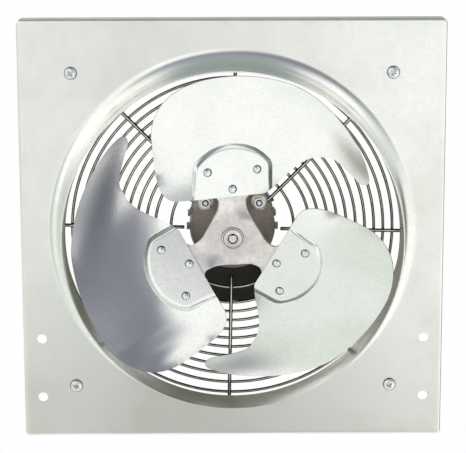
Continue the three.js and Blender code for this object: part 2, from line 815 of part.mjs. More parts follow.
function coverScrew() {
  const seatY = boxFrontY + boxDepth + seatGap + coverThickness + seatGap;
  const topY = seatY + coverScrewHeadHeight;
  const body = turned([
    [0, seatY - coverScrewLength], [coverScrewRadius, seatY - coverScrewLength], [coverScrewRadius, seatY],
    [coverScrewHeadRadius, seatY], [coverScrewHeadRadius * coverScrewHeadTopShare, topY], [0, topY],
  ], smallSides);
  const slot = block(-coverScrewHeadRadius, coverScrewHeadRadius,
    topY - coverScrewHeadHeight / 2, topY + overrun, -coverScrewSlotWidth / 2, coverScrewSlotWidth / 2);
  return body.subtract(slot);
}

const bushingZ = (boxBottomZ - motorRadius) / 2 + boxWall / 2;

function outletBushing() {
  const coverBackY = boxFrontY + boxDepth + seatGap + coverThickness;
  const flangeY = coverBackY + seatGap;
  const tailY = coverBackY - coverThickness - bushingTail;
  return turned([
    [bushingBoreRadius, tailY], [bushingRadius - bushingTailTaper, tailY],
    [bushingRadius, coverBackY - coverThickness], [bushingRadius, flangeY],
    [bushingFlangeRadius, flangeY],
    [bushingFlangeRadius - bushingFlangeTaper, flangeY + bushingFlangeHeight],
    [bushingBoreRadius, flangeY + bushingFlangeHeight],
  ], smallSides + 2).translate([0, 0, bushingZ]);
}

addPiece(fan, "wiring_box", wiringBox(), "blackPlastic");
addPiece(fan, "wiring_box_cover", boxCover(), "blackPlastic");
coverScrewPlaces().forEach(([x, z], i) => {
  addPiece(fan, `cover_screw_${i + 1}`, coverScrew().translate([x, 0, z]), "zinc");
});
addPiece(fan, "outlet_bushing", outletBushing(), "blackPlastic");

// Everything that turns
const propeller = new THREE.Group();
fan.add(propeller);

function motorShaft() {
  const endY = motorRearY + bossHeight - shieldThickness - seatGap;
  const flat = block(-shaftRadius * 2, shaftRadius * 2, shaftFrontY - overrun, hubRearY + overrun,
    shaftRadius - shaftFlatDepth, shaftRadius * 2);
  return rod(shaftRadius, shaftFrontY, endY, turnedSides).subtract(flat);
}

function rotorCore() {
  const outer = statorBoreRadius - airGap;
  const bore = shaftRadius + seatGap;
  const ringRadius = outer - endRingInset;
  return turned([
    [bore, statorFrontY - endRingLength], [ringRadius, statorFrontY - endRingLength],
    [ringRadius, statorFrontY], [outer, statorFrontY],
    [outer, statorRearY], [ringRadius, statorRearY],
    [ringRadius, statorRearY + endRingLength], [bore, statorRearY + endRingLength],
  ], smallSides + 2);
}

// Hub: a bushing swaged through the spider, with a collar in front and a barrel behind
function hubBushing() {
  const flangeEndY = hubFlangeY + hubFlangeHeight;
  const body = turned([
    [hubBoreRadius, hubFrontY], [hubGrooveInner, hubFrontY], [hubGrooveInner, hubFrontY + hubGrooveDepth],
    [hubGrooveOuter, hubFrontY + hubGrooveDepth], [hubGrooveOuter, hubFrontY],
    [hubCollarRadius, hubFrontY + hubGrooveDepth], [hubCollarRadius, hubFrontY + hubCollarHeight],
    [hubNeckRadius, hubFrontY + hubCollarHeight], [hubNeckRadius, hubFlangeY],
    [hubFlangeRadius, hubFlangeY], [hubFlangeRadius, flangeEndY], [hubBarrelRadius, flangeEndY],
    [hubBarrelRadius, hubRearY], [hubBoreRadius, hubRearY],
  ], turnedSides);
  return body.subtract(radialRod(setScrewRadius + seatGap, 0, hubBarrelRadius + overrun, smallSides));
}

// A rod standing up from the axis at the middle of the hub's barrel
function radialRod(radius, startZ, endZ, sides) {
  const geometry = new THREE.CylinderGeometry(radius, radius, endZ - startZ, sides);
  geometry.rotateX(Math.PI / 2);
  geometry.translate(0, hubRearY - hubBarrelLength / 2, (startZ + endZ) / 2);
  return solidOf(geometry);
}

function setScrew() {
  const topZ = hubBarrelRadius + setScrewStandOff;
  const body = radialRod(setScrewRadius, shaftRadius - shaftFlatDepth + seatGap, topZ, smallSides);
  return body.subtract(radialRod(setScrewSocketRadius, topZ - setScrewSocketDepth, topZ + overrun, 6));
}

addPiece(propeller, "shaft", motorShaft(), "shaftSteel");
addPiece(propeller, "rotor_core", rotorCore(), "laminations");
addPiece(propeller, "hub_bushing", hubBushing(), "shaftSteel");
addPiece(propeller, "set_screw", setScrew(), "blackOxide");

// Height of the seat face that the paddles and the blades' raised pads share, where
// shift is the distance behind that face along the axis
function seatY(x, shift) {
  return bladeSeatY + seatSlope * x + shift;
}

// Rivets stand square to the seat face, at their places on the blade
function rivetFrame(solid, [x, z]) {
  return solid.rotate([0, 0, seatPitch]).translate([x, seatY(x, 0), z]);
}

function rivetHole(place) {
  const reach = bladeThickness + spiderThickness + overrun * 2;
  return rivetFrame(rod(rivetRadius + seatGap, -reach, reach * 2, holeSides), place);
}

// One arm of the spider, drawn upwards: flat at the hub, twisted to the blades' pitch
// through its neck, and flat again in the paddle behind the blade's pad
function spiderArm() {
  const thirty = Math.PI / 6;
  const edgeAt = (along) => [
    spiderFlatDistance * Math.cos(thirty) + along * Math.sin(thirty),
    spiderFlatDistance * Math.sin(thirty) - along * Math.cos(thirty),
  ];
  const neckZ = (spiderFlatDistance - armNeckHalfWidth * Math.cos(thirty)) / Math.sin(thirty);
  const half = [
    [...edgeAt(hubNeckRadius / 2), 0],
    [armNeckHalfWidth, neckZ, armNeckFillet],
    [armNeckHalfWidth, neckZ + armNeckLength, armFlareFillet],
    [paddleHalfWidth, paddleShoulder, paddleCornerRadius],
    [paddleHalfWidth, paddleTop - paddleCornerRadius, paddleCornerRadius],
    [paddleHalfWidth / 2, paddleTop, paddleCornerRadius * 2],
  ];
  const mirrored = half.map(([x, z, radius]) => [-x, z, radius]).reverse();
  const outline = roundedOutline([...half, ...mirrored], 2);
  const heights = [-overrun, twistStart];
  const twistRows = 2;
  for (let i = 1; i <= twistRows; i += 1) heights.push(twistStart + (twistEnd - twistStart) * i / twistRows);
  heights.push(paddleTop + overrun);
  const reach = paddleHalfWidth + overrun;
  const rows = heights.map((z) => [-reach, 0, reach].map((x) => {
    const twist = THREE.MathUtils.smoothstep(z, twistStart, twistEnd);
    return new THREE.Vector3(x, spiderFrontY + seatSlope * x * twist, z);
  }));
  const deep = paddleHalfWidth + spiderThickness;
  return sheetSolid(rows, spiderThickness, false)
    .intersect(plate(outline, spiderFrontY - deep, spiderFrontY + deep));
}

const bladeTurns = Array.from({ length: bladeCount }, (_, i) => -i * 360 / bladeCount);

function spider() {
  const armSolid = cut(spiderArm(), rivetPlaces.map(rivetHole));
  const hole = rod(hubNeckRadius + seatGap, spiderFrontY - overrun, hubFlangeY + overrun, turnedSides);
  const centre = rod(spiderFlatDistance - seatGap, spiderFrontY, spiderFrontY + spiderThickness, turnedSides);
  return union([centre, ...bladeTurns.map((degrees) => turn(armSolid, degrees))]).subtract(hole);
}

addPiece(propeller, "spider", spider(), "satinSteel");

// Blade outline, as shares of the propeller's radius: leading scallop, swept tip, outer
// edge and rounded trailing lobe. The heel below them keeps its distance to the first rivet.
const heelLeftShare = -0.335;
const heelRightShare = 0.195;
const scallopShares = [[0.32, 0.323], [0.404, 0.488], [0.565, 0.462]];
const sweepShares = [[0.623, 0.487], [0.75, 0.33], [0.785, 0.295]];
const tipShares = [[0.823, 0.26], [0.865, 0.277], [0.851, 0.332]];
const outerShares = [[0.804, 0.528], [0.625, 0.805]];
const lobeShares = [[-0.443, 0.928], [-0.496, 0.735], [-0.482, 0.62]];
const flankShares = [-0.468, 0.44];
const heelCornerShare = -0.455;
const arcStart = 67.6;
const arcEnd = 99.6;

function bladeOutline() {
  const at = ([x, z]) => [x * propellerRadius, z * propellerRadius];
  const arcPoint = (degrees) => {
    const angle = THREE.MathUtils.degToRad(degrees);
    return [Math.cos(angle), Math.sin(angle)];
  };
  const curve = (shape, shares) => shape.bezierCurveTo(...shares.flatMap(at));
  const shape = new THREE.Shape();
  const heelLeft = [heelLeftShare * propellerRadius, heelPlace];
  const heelCorner = [heelCornerShare * propellerRadius, heelPlace + heelRise / 2];
  shape.moveTo(...heelLeft);
  shape.lineTo(heelRightShare * propellerRadius, heelPlace + heelRise);
  curve(shape, scallopShares);
  curve(shape, sweepShares);
  curve(shape, tipShares);
  curve(shape, [...outerShares, arcPoint(arcStart)]);
  shape.absarc(0, 0, propellerRadius, THREE.MathUtils.degToRad(arcStart), THREE.MathUtils.degToRad(arcEnd));
  curve(shape, lobeShares);
  shape.bezierCurveTo(...at(flankShares), ...heelCorner, ...heelLeft);
  return shape;
}

// The blade's own face: pitched across, cupped along the span, and curled at the swept tip
function bladeY(x, z) {
  const span = z - cupCentre;
  return bladeFaceY + pitchSlope * x - span ** 2 / (2 * spanCupRadius)
    - x ** 3 / tailCurlLength ** 2 - x ** 2 * span / cornerCurlLength ** 2;
}

// Stations round the raised pad, from its left foot over the arch to its right foot. Each
// holds its place on the foot of the ramp, on the top of the ramp and on the middle line.
function padStations() {
  const rampRadius = padArcRadius - padRampWidth;
  const rampHalfWidth = padHalfWidth - padRampWidth;
  const footAngle = Math.acos(padHalfWidth / padArcRadius);
  const topAngle = Math.acos(rampHalfWidth / rampRadius);
  const footZ = padArcCentre + padArcRadius * Math.sin(footAngle);
  const topZ = padArcCentre + rampRadius * Math.sin(topAngle);
  const rootZ = heelPlace - overrun * 2;
  const sideSteps = 2;
  const side = [];
  for (let i = 0; i <= sideSteps; i += 1) {
    const share = i / sideSteps;
    side.push({
      foot: [padHalfWidth, THREE.MathUtils.lerp(rootZ, footZ, share)],
      top: [rampHalfWidth, THREE.MathUtils.lerp(rootZ, topZ, share)],
      middle: Math.min(THREE.MathUtils.lerp(rootZ, topZ, share), padArcCentre),
      normal: 0,
    });
  }
  side.push({ ...side.at(-1), normal: footAngle / 2 });
  const arcSteps = 6;
  const arch = [];
  for (let i = 0; i <= arcSteps; i += 1) {
    const share = i / arcSteps;
    const foot = THREE.MathUtils.lerp(footAngle, Math.PI - footAngle, share);
    const top = THREE.MathUtils.lerp(topAngle, Math.PI - topAngle, share);
    arch.push({
      foot: [padArcRadius * Math.cos(foot), padArcCentre + padArcRadius * Math.sin(foot)],
      top: [rampRadius * Math.cos(top), padArcCentre + rampRadius * Math.sin(top)],
      middle: padArcCentre,
      normal: foot,
    });
  }
  const farSide = side.map((station) => ({
    foot: [-station.foot[0], station.foot[1]],
    top: [-station.top[0], station.top[1]],
    middle: station.middle,
    normal: Math.PI - station.normal,
  })).reverse();
  return [...side, ...arch, ...farSide];
}

function bladeSheet() {
  const farthest = propellerRadius - padHalfWidth + overrun;
  const reaches = padOuterReachShares.map((share) => share * farthest);
  const rows = padStations().map(({ foot, top, middle, normal }) => {
    const around = reaches.map((reach) => {
      const x = foot[0] + reach * Math.cos(normal);
      const z = foot[1] + reach * Math.sin(normal);
      return new THREE.Vector3(x, bladeY(x, z), z);
    });
    return [
      new THREE.Vector3(0, seatY(0, 0), middle),
      new THREE.Vector3(top[0], seatY(top[0], 0), top[1]),
      ...around,
    ];
  });
  return sheetSolid(rows, bladeThickness, true);
}

function blade() {
  const outline = plate(bladeOutline(), bladeFaceY - propellerRadius, bladeFaceY + propellerRadius, 5);
  return cut(bladeSheet().intersect(outline), rivetPlaces.map(rivetHole));
}

function rivet(place) {
  const stack = bladeThickness + seatGap + spiderThickness;
  const tailY = stack * Math.cos(THREE.MathUtils.degToRad(seatPitch)) + seatGap;
  const [domeAcross, domeDown] = rivetHeadProfileShares;
  const body = turned([
    [0, -seatGap - rivetHeadHeight],
    [rivetHeadRadius * domeAcross, -seatGap - rivetHeadHeight * domeDown],
    [rivetHeadRadius, -seatGap], [rivetRadius, -seatGap], [rivetRadius, tailY],
    [rivetTailRadius, tailY], [rivetTailRadius * rivetTailTopShare, tailY + rivetTailHeight],
    [0, tailY + rivetTailHeight],
  ], holeSides);
  return rivetFrame(body, place);
}

const bladeSolid = blade();
bladeTurns.forEach((degrees, i) => {
  addPiece(propeller, `blade_${i + 1}`, turn(bladeSolid, degrees), "bladePaint");
  rivetPlaces.forEach((place, j) => {
    addPiece(propeller, `blade_${i + 1}_rivet_${j + 1}`, turn(rivet(place), degrees), "zinc");
  });
});

export default fan;
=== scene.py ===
# %% [markdown]
# # Dressing a wall exhaust fan
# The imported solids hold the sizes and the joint. This lesson builds finer pieces over them:
# smooth sheet metal for the panel, blades and spider, round wire for the guard, turned and
# stamped fasteners, and a procedural material for each real one. Blender works in metres in
# the row frame. The lengths below are in millimetres, and the mesh tools scale them by MM.

# %% Load the frame
import math
import bpy
import bmesh
import numpy as np
from mathutils import Matrix, Vector
from mathutils.geometry import delaunay_2d_cdt


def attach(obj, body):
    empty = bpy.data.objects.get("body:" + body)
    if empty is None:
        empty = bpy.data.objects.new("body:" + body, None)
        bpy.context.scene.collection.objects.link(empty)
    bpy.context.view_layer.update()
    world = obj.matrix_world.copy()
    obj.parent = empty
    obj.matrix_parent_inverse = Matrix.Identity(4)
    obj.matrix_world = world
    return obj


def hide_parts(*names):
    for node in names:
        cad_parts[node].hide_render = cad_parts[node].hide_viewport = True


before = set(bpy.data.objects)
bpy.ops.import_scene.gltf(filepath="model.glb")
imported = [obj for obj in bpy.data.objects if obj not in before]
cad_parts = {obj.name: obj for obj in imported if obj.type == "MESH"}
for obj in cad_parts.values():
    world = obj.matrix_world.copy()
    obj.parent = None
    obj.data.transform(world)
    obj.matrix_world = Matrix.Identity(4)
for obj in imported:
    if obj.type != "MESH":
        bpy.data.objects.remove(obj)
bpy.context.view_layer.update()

MM = 0.001

# %% [markdown]
# ## Sizes shared with the solids
# The same values drive the CAD source, so each piece lands on its node. x runs to the right, y
# from the front of the panel to the back, and z up. The hub's axis is x = z = 0.

# %% Panel and throat, in millimetres
HALF, SHEET, FLANGE, BEND, CORNER = 198.4, 1.2, 25.0, 2.0, 4.0
THROAT_R, THROAT_L, FILLET = 156.6, 57.0, 16.0
SCREW_AT, HOLE_R, BOLT_HOLE_R = 149.0, 4.65, 2.8
HOLES = [(side * 180.9, z) for side in (-1, 1) for z in (-160.3, -103.4)]
CORNERS = [(x, z) for x in (-1, 1) for z in (-1, 1)]
GAP = 0.3  # what is left between pieces that touch on the real fan
print("panel:", 2 * HALF, "mm square, throat", 2 * THROAT_R, "mm wide")

# %% Guard and fasteners, in millimetres
ARM_Y, ARM_R, RING_R = 16.6, 1.7, 1.4
RING_Y = ARM_Y + ARM_R + GAP + RING_R
SPOKE_Y = RING_Y - RING_R - ARM_R + 0.4
FOOT_Y = SHEET + GAP + ARM_R
RINGS = [58.1] + [73 + 8.72 * i for i in range(10)] + [161.4]
EYE_R, EYE_WRAP, FOOT_RISE = 5.0, 275, 26.0
NUT_FLATS, NUT_T, WASHER_H, BOLT_AT = 9.5, 3.7, 2.5, 25.3
print("guard:", len(RINGS), "rings at y", round(RING_Y, 1))

# %% Motor and wiring box, in millimetres
MOTOR_R, MOTOR_Y, SHIELD_D = 40.8, ARM_Y + ARM_R + 2 * GAP + NUT_T, 28.0
STATOR_Y, STATOR_L = MOTOR_Y + SHIELD_D + GAP, 24
REAR_Y = MOTOR_Y + 2 * SHIELD_D + STATOR_L + 2 * GAP
BOSS_R, BOSS_H, SHELL, SHAFT_R = 13.0, 6.0, 1.8, 3.97
BOX_TOP, BOX_LOW, BOX_Y, BOX_D, BOX_HALF = -34.0, -76.6, 42.0, 52.0, 35.0
COVER_Y, COVER_T = BOX_Y + BOX_D + GAP, 2
print("motor: from y", round(MOTOR_Y, 1), "to", round(REAR_Y, 1))

# %% Propeller, in millimetres
PROP_R, BLADE_T, BLADE_Y = 150.6, 1.4, -33.2
SPIDER_Y, SPIDER_T = -34.6, 2.6
SEAT_PITCH = math.radians(22.9)
SEAT_SLOPE, PITCH_SLOPE = math.tan(SEAT_PITCH), math.tan(math.radians(24.2))
SEAT_Y = SPIDER_Y - GAP - BLADE_T
print("propeller:", 2 * PROP_R, "mm across, pitched", round(math.degrees(SEAT_PITCH), 1), "degrees")

# %% [markdown]
# ## Shader tools
# Every finish below is a small net of nodes that reads the object's own coordinates, so its
# pattern is fixed in the metal and turns with the fan. The nodes could be placed by hand in the
# shader editor. Here one function adds each of them, sets its options, fills or links its
# inputs, and gives back the output that the next node needs.

# %% Colours
def linear(code):
    """An sRGB hex code as the linear colour that Blender calculates with."""
    parts = [int(code[i:i + 2], 16) / 255 for i in (0, 2, 4)]
    light = [c / 12.92 if c <= 0.04045 else ((c + 0.055) / 1.055) ** 2.4 for c in parts]
    return (*light, 1.0)


print("mid grey 808080 is", round(linear("808080")[0], 3), "in linear light")


# %% Nodes
def add(tree, kind, inputs=None, out=0, stops=(), **options):
    """Adds one node and gives back its output `out`. `stops` are the places and colours of a
    colour ramp."""
    node = tree.nodes.new("ShaderNode" + kind)
    for key, value in options.items():
        setattr(node, key, value)
    for key, value in (inputs or {}).items():
        if isinstance(value, bpy.types.NodeSocket):
            tree.links.new(value, node.inputs[key])
        else:
            node.inputs[key].default_value = value
    if stops:
        spots = node.color_ramp.elements
        while len(spots) < len(stops):
            spots.new(0.5)
        for spot, (place, colour) in zip(spots, stops):
            spot.position = place
            spot.color = colour
    return node.outputs[out]


def grain(place, size, detail=3.0, rough=0.55):
    """Noise inputs for features about `size` mm across."""
    return {"Vector": place, "Scale": 1000 / size, "Detail": detail, "Roughness": rough}


def span(value, low, high, to_low=0.0, to_high=1.0):
    """Map Range inputs that stretch low..high to to_low..to_high."""
    return {"Value": value, "From Min": low, "From Max": high, "To Min": to_low, "To Max": to_high}


print("a grain of 1.6 mm is noise of scale", grain(None, 1.6)["Scale"])


# %% The start and the end of every finish
def new_material(name, rough, metallic):
    """A material whose metallic level is one number on the shader itself."""
    material = bpy.data.materials.new(name)
    material.use_nodes = True
    tree = material.node_tree
    shader = tree.nodes["Principled BSDF"]
    shader.inputs["Roughness"].default_value = rough
    shader.inputs["Metallic"].default_value = metallic
    return material, tree, add(tree, "TexCoord", out="Object")


def layered(tree, low, high, *patterns):
    """Adds patterns up and stretches their sum from 0 to 1."""
    level = patterns[0]
    for pattern in patterns[1:]:
        level = add(tree, "Math", {0: level, 1: pattern}, operation="ADD")
    return add(tree, "MapRange", span(level, low, high))


def two_tone(tree, level, dark, light):
    return add(tree, "ValToRGB", {"Fac": level}, stops=[(0.1, linear(dark)), (0.9, linear(light))])


def finish(tree, colour, rough, relief, strength, height):
    """Feeds the shader its colour, its roughness and a relief `height` mm high."""
    inputs = tree.nodes["Principled BSDF"].inputs
    tree.links.new(colour, inputs["Base Color"])
    if rough:
        tree.links.new(rough, inputs["Roughness"])
    bump = add(tree, "Bump", {"Height": relief, "Strength": strength, "Distance": height * MM})
    tree.links.new(bump, inputs["Normal"])


# %% [markdown]
# ## Zinc on sheet steel
# The panel and the blades are cut from coated coil. The zinc froze on the hot strip into flat
# crystals a few millimetres across, each a slightly different grey. The eye sees a soft, broken
# mirror. A photograph of such a sheet could be mapped on, but cells for the crystals, noise for
# the mottling and larger clouds for handling give it at any size, without a picture. The real
# mottling is about 0.5 mm fine. One pixel of the render is 0.9 mm, so it is drawn at 1.6 mm.

# %% Coated sheet
def sheet_metal(name, light, dark, crystal, rough, bump, stain=None, stain_share=0.0):
    """`crystal` is the width of a zinc crystal in mm, and `stain` the colour of dull patches."""
    material, tree, place = new_material(name, rough[0], 1.0)
    inputs = {"Vector": place, "Scale": 1000 / crystal, "Randomness": 1.0}
    cells = add(tree, "TexVoronoi", inputs, "Color")
    tint = add(tree, "SeparateColor", {"Color": cells}, "Red")
    crystals = add(tree, "MapRange", span(tint, 0.0, 1.0, 0.4, 0.6))
    mottle = add(tree, "TexNoise", grain(place, 1.6, 4.0, 0.7))
    cloud = add(tree, "TexNoise", grain(place, crystal * 9))
    level = layered(tree, 1.4, 2.6, crystals, mottle, mottle, cloud)
    colour = two_tone(tree, level, dark, light)
    if stain:
        patch = add(tree, "TexNoise", grain(place, 110, 5.0, 0.6))
        patch = add(tree, "MapRange", span(patch, 0.46, 0.66, 0.0, stain_share))
        colour = add(tree, "Mix", {0: patch, 6: colour, 7: linear(stain)}, 2, data_type="RGBA")
    gloss = add(tree, "MapRange", span(level, 0.0, 1.0, rough[1], rough[0]))
    finish(tree, colour, gloss, mottle, bump, 0.3)
    return material


# hot-dip zinc on the panel: pale and even, a little yellow where it has dulled
galvanised = sheet_metal("galvanised_steel", "FAFBF7", "EEF0EB", 5.0, (0.22, 0.27), 0.07,
                         "DEDED2", 0.4)
# the blades' sheet is rolled smoother after coating, so that it mirrors the room more clearly
blade_steel = sheet_metal("zinc_coated_blade_steel", "EEF0EC", "E0E3DF", 3.5, (0.15, 0.22), 0.07)
print("sheet finishes:", galvanised.name, "and", blade_steel.name)

# %% [markdown]
# ## Turned, drawn and plated metal
# Wire, fasteners, hub and shaft come from a die, a lathe or a plating bath. Close up they have
# fine marks. From the camera they read as a bright core between dark edges, because a round bar
# mirrors the dark room beside the fan there. The room could be built, but it is out of the
# picture, so a darker colour is painted where the metal turns away from front and back: painted
# shade that stands in for that reflection. Tool marks are finer than a pixel, so the specks are
# drawn 0.4 to 1.2 mm wide.

# %% Machined metal
def machined(name, light, dark, rough, spot, bump, cloud_size=14, lines=None, painted_side_shade=None):
    """`spot` and `cloud_size` are in mm, `lines` stretches a noise into tool or drawing marks,
    and the last argument is painted shade: the colour painted on faces turned away, with the
    facing at which it starts and ends."""
    material, tree, place = new_material(name, rough[0], 1.0)
    speck = add(tree, "TexNoise", grain(place, spot, 3.0, 0.6))
    cloud = add(tree, "TexNoise", grain(place, cloud_size))
    if lines:
        stretched = add(tree, "Mapping", {"Vector": place, "Scale": lines})
        marks = add(tree, "TexNoise", {"Vector": stretched, "Scale": 1.0, "Detail": 2.0})
    else:
        marks = add(tree, "TexNoise", grain(place, spot * 3, 2.0))
    level = layered(tree, 1.15, 1.85, speck, cloud, marks)
    colour = two_tone(tree, level, dark, light)
    if painted_side_shade:
        # painted shade: faces turned away from front and back take a darker colour, in place of the
        # dark room the metal would mirror
        painted_side_colour, starts, ends = painted_side_shade
        facing = add(tree, "SeparateXYZ", {0: add(tree, "TexCoord", out="Normal")}, "Y")
        facing = add(tree, "Math", {0: facing}, operation="ABSOLUTE")
        away = add(tree, "MapRange", span(facing, starts, ends))
        colour = add(tree, "Mix", {0: away, 6: colour, 7: linear(painted_side_colour)}, 2, data_type="RGBA")
    gloss = add(tree, "MapRange", span(level, 0.0, 1.0, rough[1], rough[0]))
    relief = add(tree, "Math", {0: speck, 1: marks}, operation="ADD")
    finish(tree, colour, gloss, relief, bump, 0.1)
    return material


# %% The metals
# pressed mild steel, bare: warmer and duller than the zinc, with a cloudy sheen
stamped_steel = machined("stamped_steel", "EDE9E6", "D9D4D0", (0.34, 0.46), 1.2, 0.05, 9)
# drawn wire under a thin yellowish plating: a bright line down its middle, with black shade painted
# at its sides
wire_steel = machined("plated_guard_wire", "F2EEE0", "C4BFAC", (0.2, 0.3), 0.8, 0.08,
                      painted_side_shade=("060504", 0.99, 0.88))
# bright zinc plating on screws, nuts, bolts and rivets: blue-white, with grey shade painted on
# their flanks
zinc_plate = machined("bright_zinc_plate", "F2F4F4", "DADDDF", (0.24, 0.34), 0.6, 0.06, 8,
                      painted_side_shade=("50545A", 0.86, 0.56))
# older zinc with a cream passivation on the cup washers: warm and a little cloudy
cream_plate = machined("cream_zinc_washer", "F6F2E6", "E0DAC8", (0.28, 0.4), 0.6, 0.06, 8)
# ground shaft and turned hub: fine rings from the tool, 0.6 mm apart, that streak the gloss, and
# dark shade painted on faces turned away
ground_steel = machined("ground_steel", "F4EEEB", "DCD6D3", (0.22, 0.32), 0.6, 0.05,
                        lines=(40, 1.6e3, 40), painted_side_shade=("3E3A37", 0.86, 0.56))
# the set screw is blackened in hot oxide: almost black, with a dull oil sheen
dark_steel = machined("black_oxide_steel", "3C3B3C", "232324", (0.35, 0.5), 0.6, 0.08)
# pressed bronze powder soaked in oil, for the bearings: brown and open-grained
bronze = machined("sintered_bronze", "A98454", "7E6038", (0.45, 0.6), 0.4, 0.2)
print("metals:", stamped_steel.name, wire_steel.name, zinc_plate.name, ground_steel.name)

# %% [markdown]
# ## Paint and plastic
# The motor wears sprayed paint with some metal flake, and the box a thin black enamel. Both have
# orange peel, a skin of shallow dimples about 1.6 mm wide. The grommet is moulded nylon. A flat
# colour would look like plasticine, so the skin lifts the light and clouds vary the gloss.

# %% Coats
def coated(name, light, dark, rough, peel, metallic=0.0, bump=0.15, dust=None):
    """`peel` is the width of the skin's dimples in mm, and `dust` the colour of its grains."""
    material, tree, place = new_material(name, rough[0], metallic)
    skin = add(tree, "TexNoise", grain(place, peel, 2.0))
    cloud = add(tree, "TexNoise", grain(place, 22, 4.0, 0.6))
    colour = two_tone(tree, layered(tree, 0.75, 1.25, skin, cloud), dark, light)
    if dust:
        grains = add(tree, "TexNoise", grain(place, 0.9, 2.0, 0.7))
        grains = add(tree, "MapRange", span(grains, 0.6, 0.72, 0.0, 0.5))
        colour = add(tree, "Mix", {0: grains, 6: colour, 7: linear(dust)}, 2, data_type="RGBA")
    gloss = add(tree, "MapRange", span(cloud, 0.3, 0.7, rough[0], rough[1]))
    finish(tree, colour, gloss, skin, bump, 0.2)
    return material


# baked motor paint: taupe, half glossy, with a little flake and dust
taupe_paint = coated("taupe_motor_paint", "A59A91", "877D75", (0.3, 0.45), 1.6, 0.25, dust="B0A79E")
# dipped enamel on the wiring box: near black, with soft highlights along its edges
black_enamel = coated("black_enamel", "232120", "131211", (0.35, 0.5), 1.6)
# moulded nylon from a finely eroded tool: black and matt
black_nylon = coated("black_nylon", "1F1E1E", "121111", (0.5, 0.65), 0.7, bump=0.2)
print("coats:", taupe_paint.name, black_enamel.name, black_nylon.name)

# %% [markdown]
# ## Stacked sheets and wound wire
# The stator is a pile of 0.5 mm steel sheets, and its winding is 0.6 mm wire in varnish. Every
# sheet and turn could be a piece of its own, but one wave texture draws their edges.

# %% Stacks and windings
def banded(name, light, dark, width, rough, metallic):
    """Light and dark bands along Y, each `width` mm wide, broken up by dirt."""
    material, tree, place = new_material(name, rough, metallic)
    scale = 1000 / width / 20 * math.pi
    waves = {"Vector": place, "Scale": scale, "Distortion": 0.6, "Detail": 2.0}
    bands = add(tree, "TexWave", waves, "Fac", bands_direction="Y")
    dirt = add(tree, "TexNoise", grain(place, 6, 4.0))
    colour = two_tone(tree, layered(tree, 0.3, 1.5, bands, dirt), dark, light)
    finish(tree, colour, None, bands, 0.6, 0.15)
    return material


# punched silicon steel, edges out: grey-brown lines with a dull gleam
laminations = banded("laminated_steel", "716C67", "3A3734", 0.5, 0.5, 0.7)
# copper under clear varnish: deep orange turns with dark gaps
copper_wire = banded("varnished_copper_wire", "B0622C", "5E2C12", 0.6, 0.35, 0.8)
print("materials:", len(bpy.data.materials))


# %% [markdown]
# ## Mesh tools
# A piece is made in the row frame, finished, and then settled: it rides on its body and stands
# for its nodes. Blender could be asked for primitives and edited by its operators, but points and
# faces from the sizes above land within a hair of the solids.

# %% A piece from points and faces
def make(name, verts, faces, material, place=None, sharp=32):
    """`place` is [body, slot, node, ...] for a piece, and empty for a cutting tool."""
    mesh = bpy.data.meshes.new(name)
    mesh.from_pydata([tuple(v) for v in verts], [], [tuple(f) for f in faces])
    mesh.validate()
    piece = bpy.data.objects.new(name, mesh)
    bpy.context.collection.objects.link(piece)
    tidy(piece, sharp)
    if material:
        mesh.materials.append(material)
    piece["place"] = place or []
    return piece


def tidy(piece, sharp=32):
    """Turns the faces out, and shades smooth but for edges bent by more than `sharp` degrees."""
    work = bmesh.new()
    work.from_mesh(piece.data)
    bmesh.ops.remove_doubles(work, verts=work.verts, dist=1e-7)
    bmesh.ops.dissolve_degenerate(work, edges=work.edges, dist=1e-7)
    bmesh.ops.recalc_face_normals(work, faces=work.faces)
    for face in work.faces:
        face.smooth = True
    work.to_mesh(piece.data)
    work.free()
    piece.data.set_sharp_from_angle(angle=math.radians(sharp))


# %% Cutting
def apply_modifiers(piece):
    bpy.context.view_layer.update()
    graph = bpy.context.evaluated_depsgraph_get()
    mesh = bpy.data.meshes.new_from_object(piece.evaluated_get(graph))
    piece.modifiers.clear()
    piece.data = mesh
    return piece


def carve(piece, tools, operation="DIFFERENCE", sharp=32):
    """Takes the tools away from a piece, or keeps what lies in them, and uses them up."""
    for tool in tools:
        modifier = piece.modifiers.new("carve", "BOOLEAN")
        modifier.operation = operation
        modifier.solver = "EXACT"
        modifier.object = tool
    apply_modifiers(piece)
    for tool in tools:
        bpy.data.objects.remove(tool)
    while len(piece.data.materials) > 1:
        piece.data.materials.pop()
    for face in piece.data.polygons:
        face.material_index = 0
    tidy(piece, sharp)
    return piece


# %% Rounding
def soften(piece, width, segments=2, angle=40):
    """Rounds the crisp edges by a width in mm, as a press or a file leaves them, and keeps the
    flat faces flat to the eye."""
    modifier = piece.modifiers.new("soften", "BEVEL")
    modifier.width = width * MM
    modifier.segments = segments
    modifier.limit_method = "ANGLE"
    modifier.angle_limit = math.radians(angle)
    apply_modifiers(piece)
    tidy(piece, 50)
    modifier = piece.modifiers.new("even_shade", "WEIGHTED_NORMAL")
    modifier.keep_sharp = True
    apply_modifiers(piece)
    return piece


# %% Joining and settling
def join(name, pieces):
    """One object out of several closed bodies of one material."""
    work = bmesh.new()
    for piece in pieces:
        work.from_mesh(piece.data)
    mesh = bpy.data.meshes.new(name)
    work.to_mesh(mesh)
    work.free()
    mesh.materials.append(pieces[0].data.materials[0])
    whole = bpy.data.objects.new(name, mesh)
    whole["place"] = pieces[0]["place"]
    bpy.context.collection.objects.link(whole)
    for piece in pieces:
        bpy.data.objects.remove(piece)
    mesh.set_sharp_from_angle(angle=math.radians(32))
    return whole


def settle(piece):
    """Rides on the body and stands for the nodes that `place` names."""
    body, slot, *nodes = piece["place"]
    del piece["place"]
    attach(piece, body)
    if nodes:
        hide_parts(*nodes)
    return piece


def shift(x=0, y=0, z=0):
    return Matrix.Translation((x * MM, y * MM, z * MM))


def spin(degrees, axis="Y"):
    """About Y, a positive turn is clockwise seen from the front."""
    return Matrix.Rotation(math.radians(degrees), 4, axis)


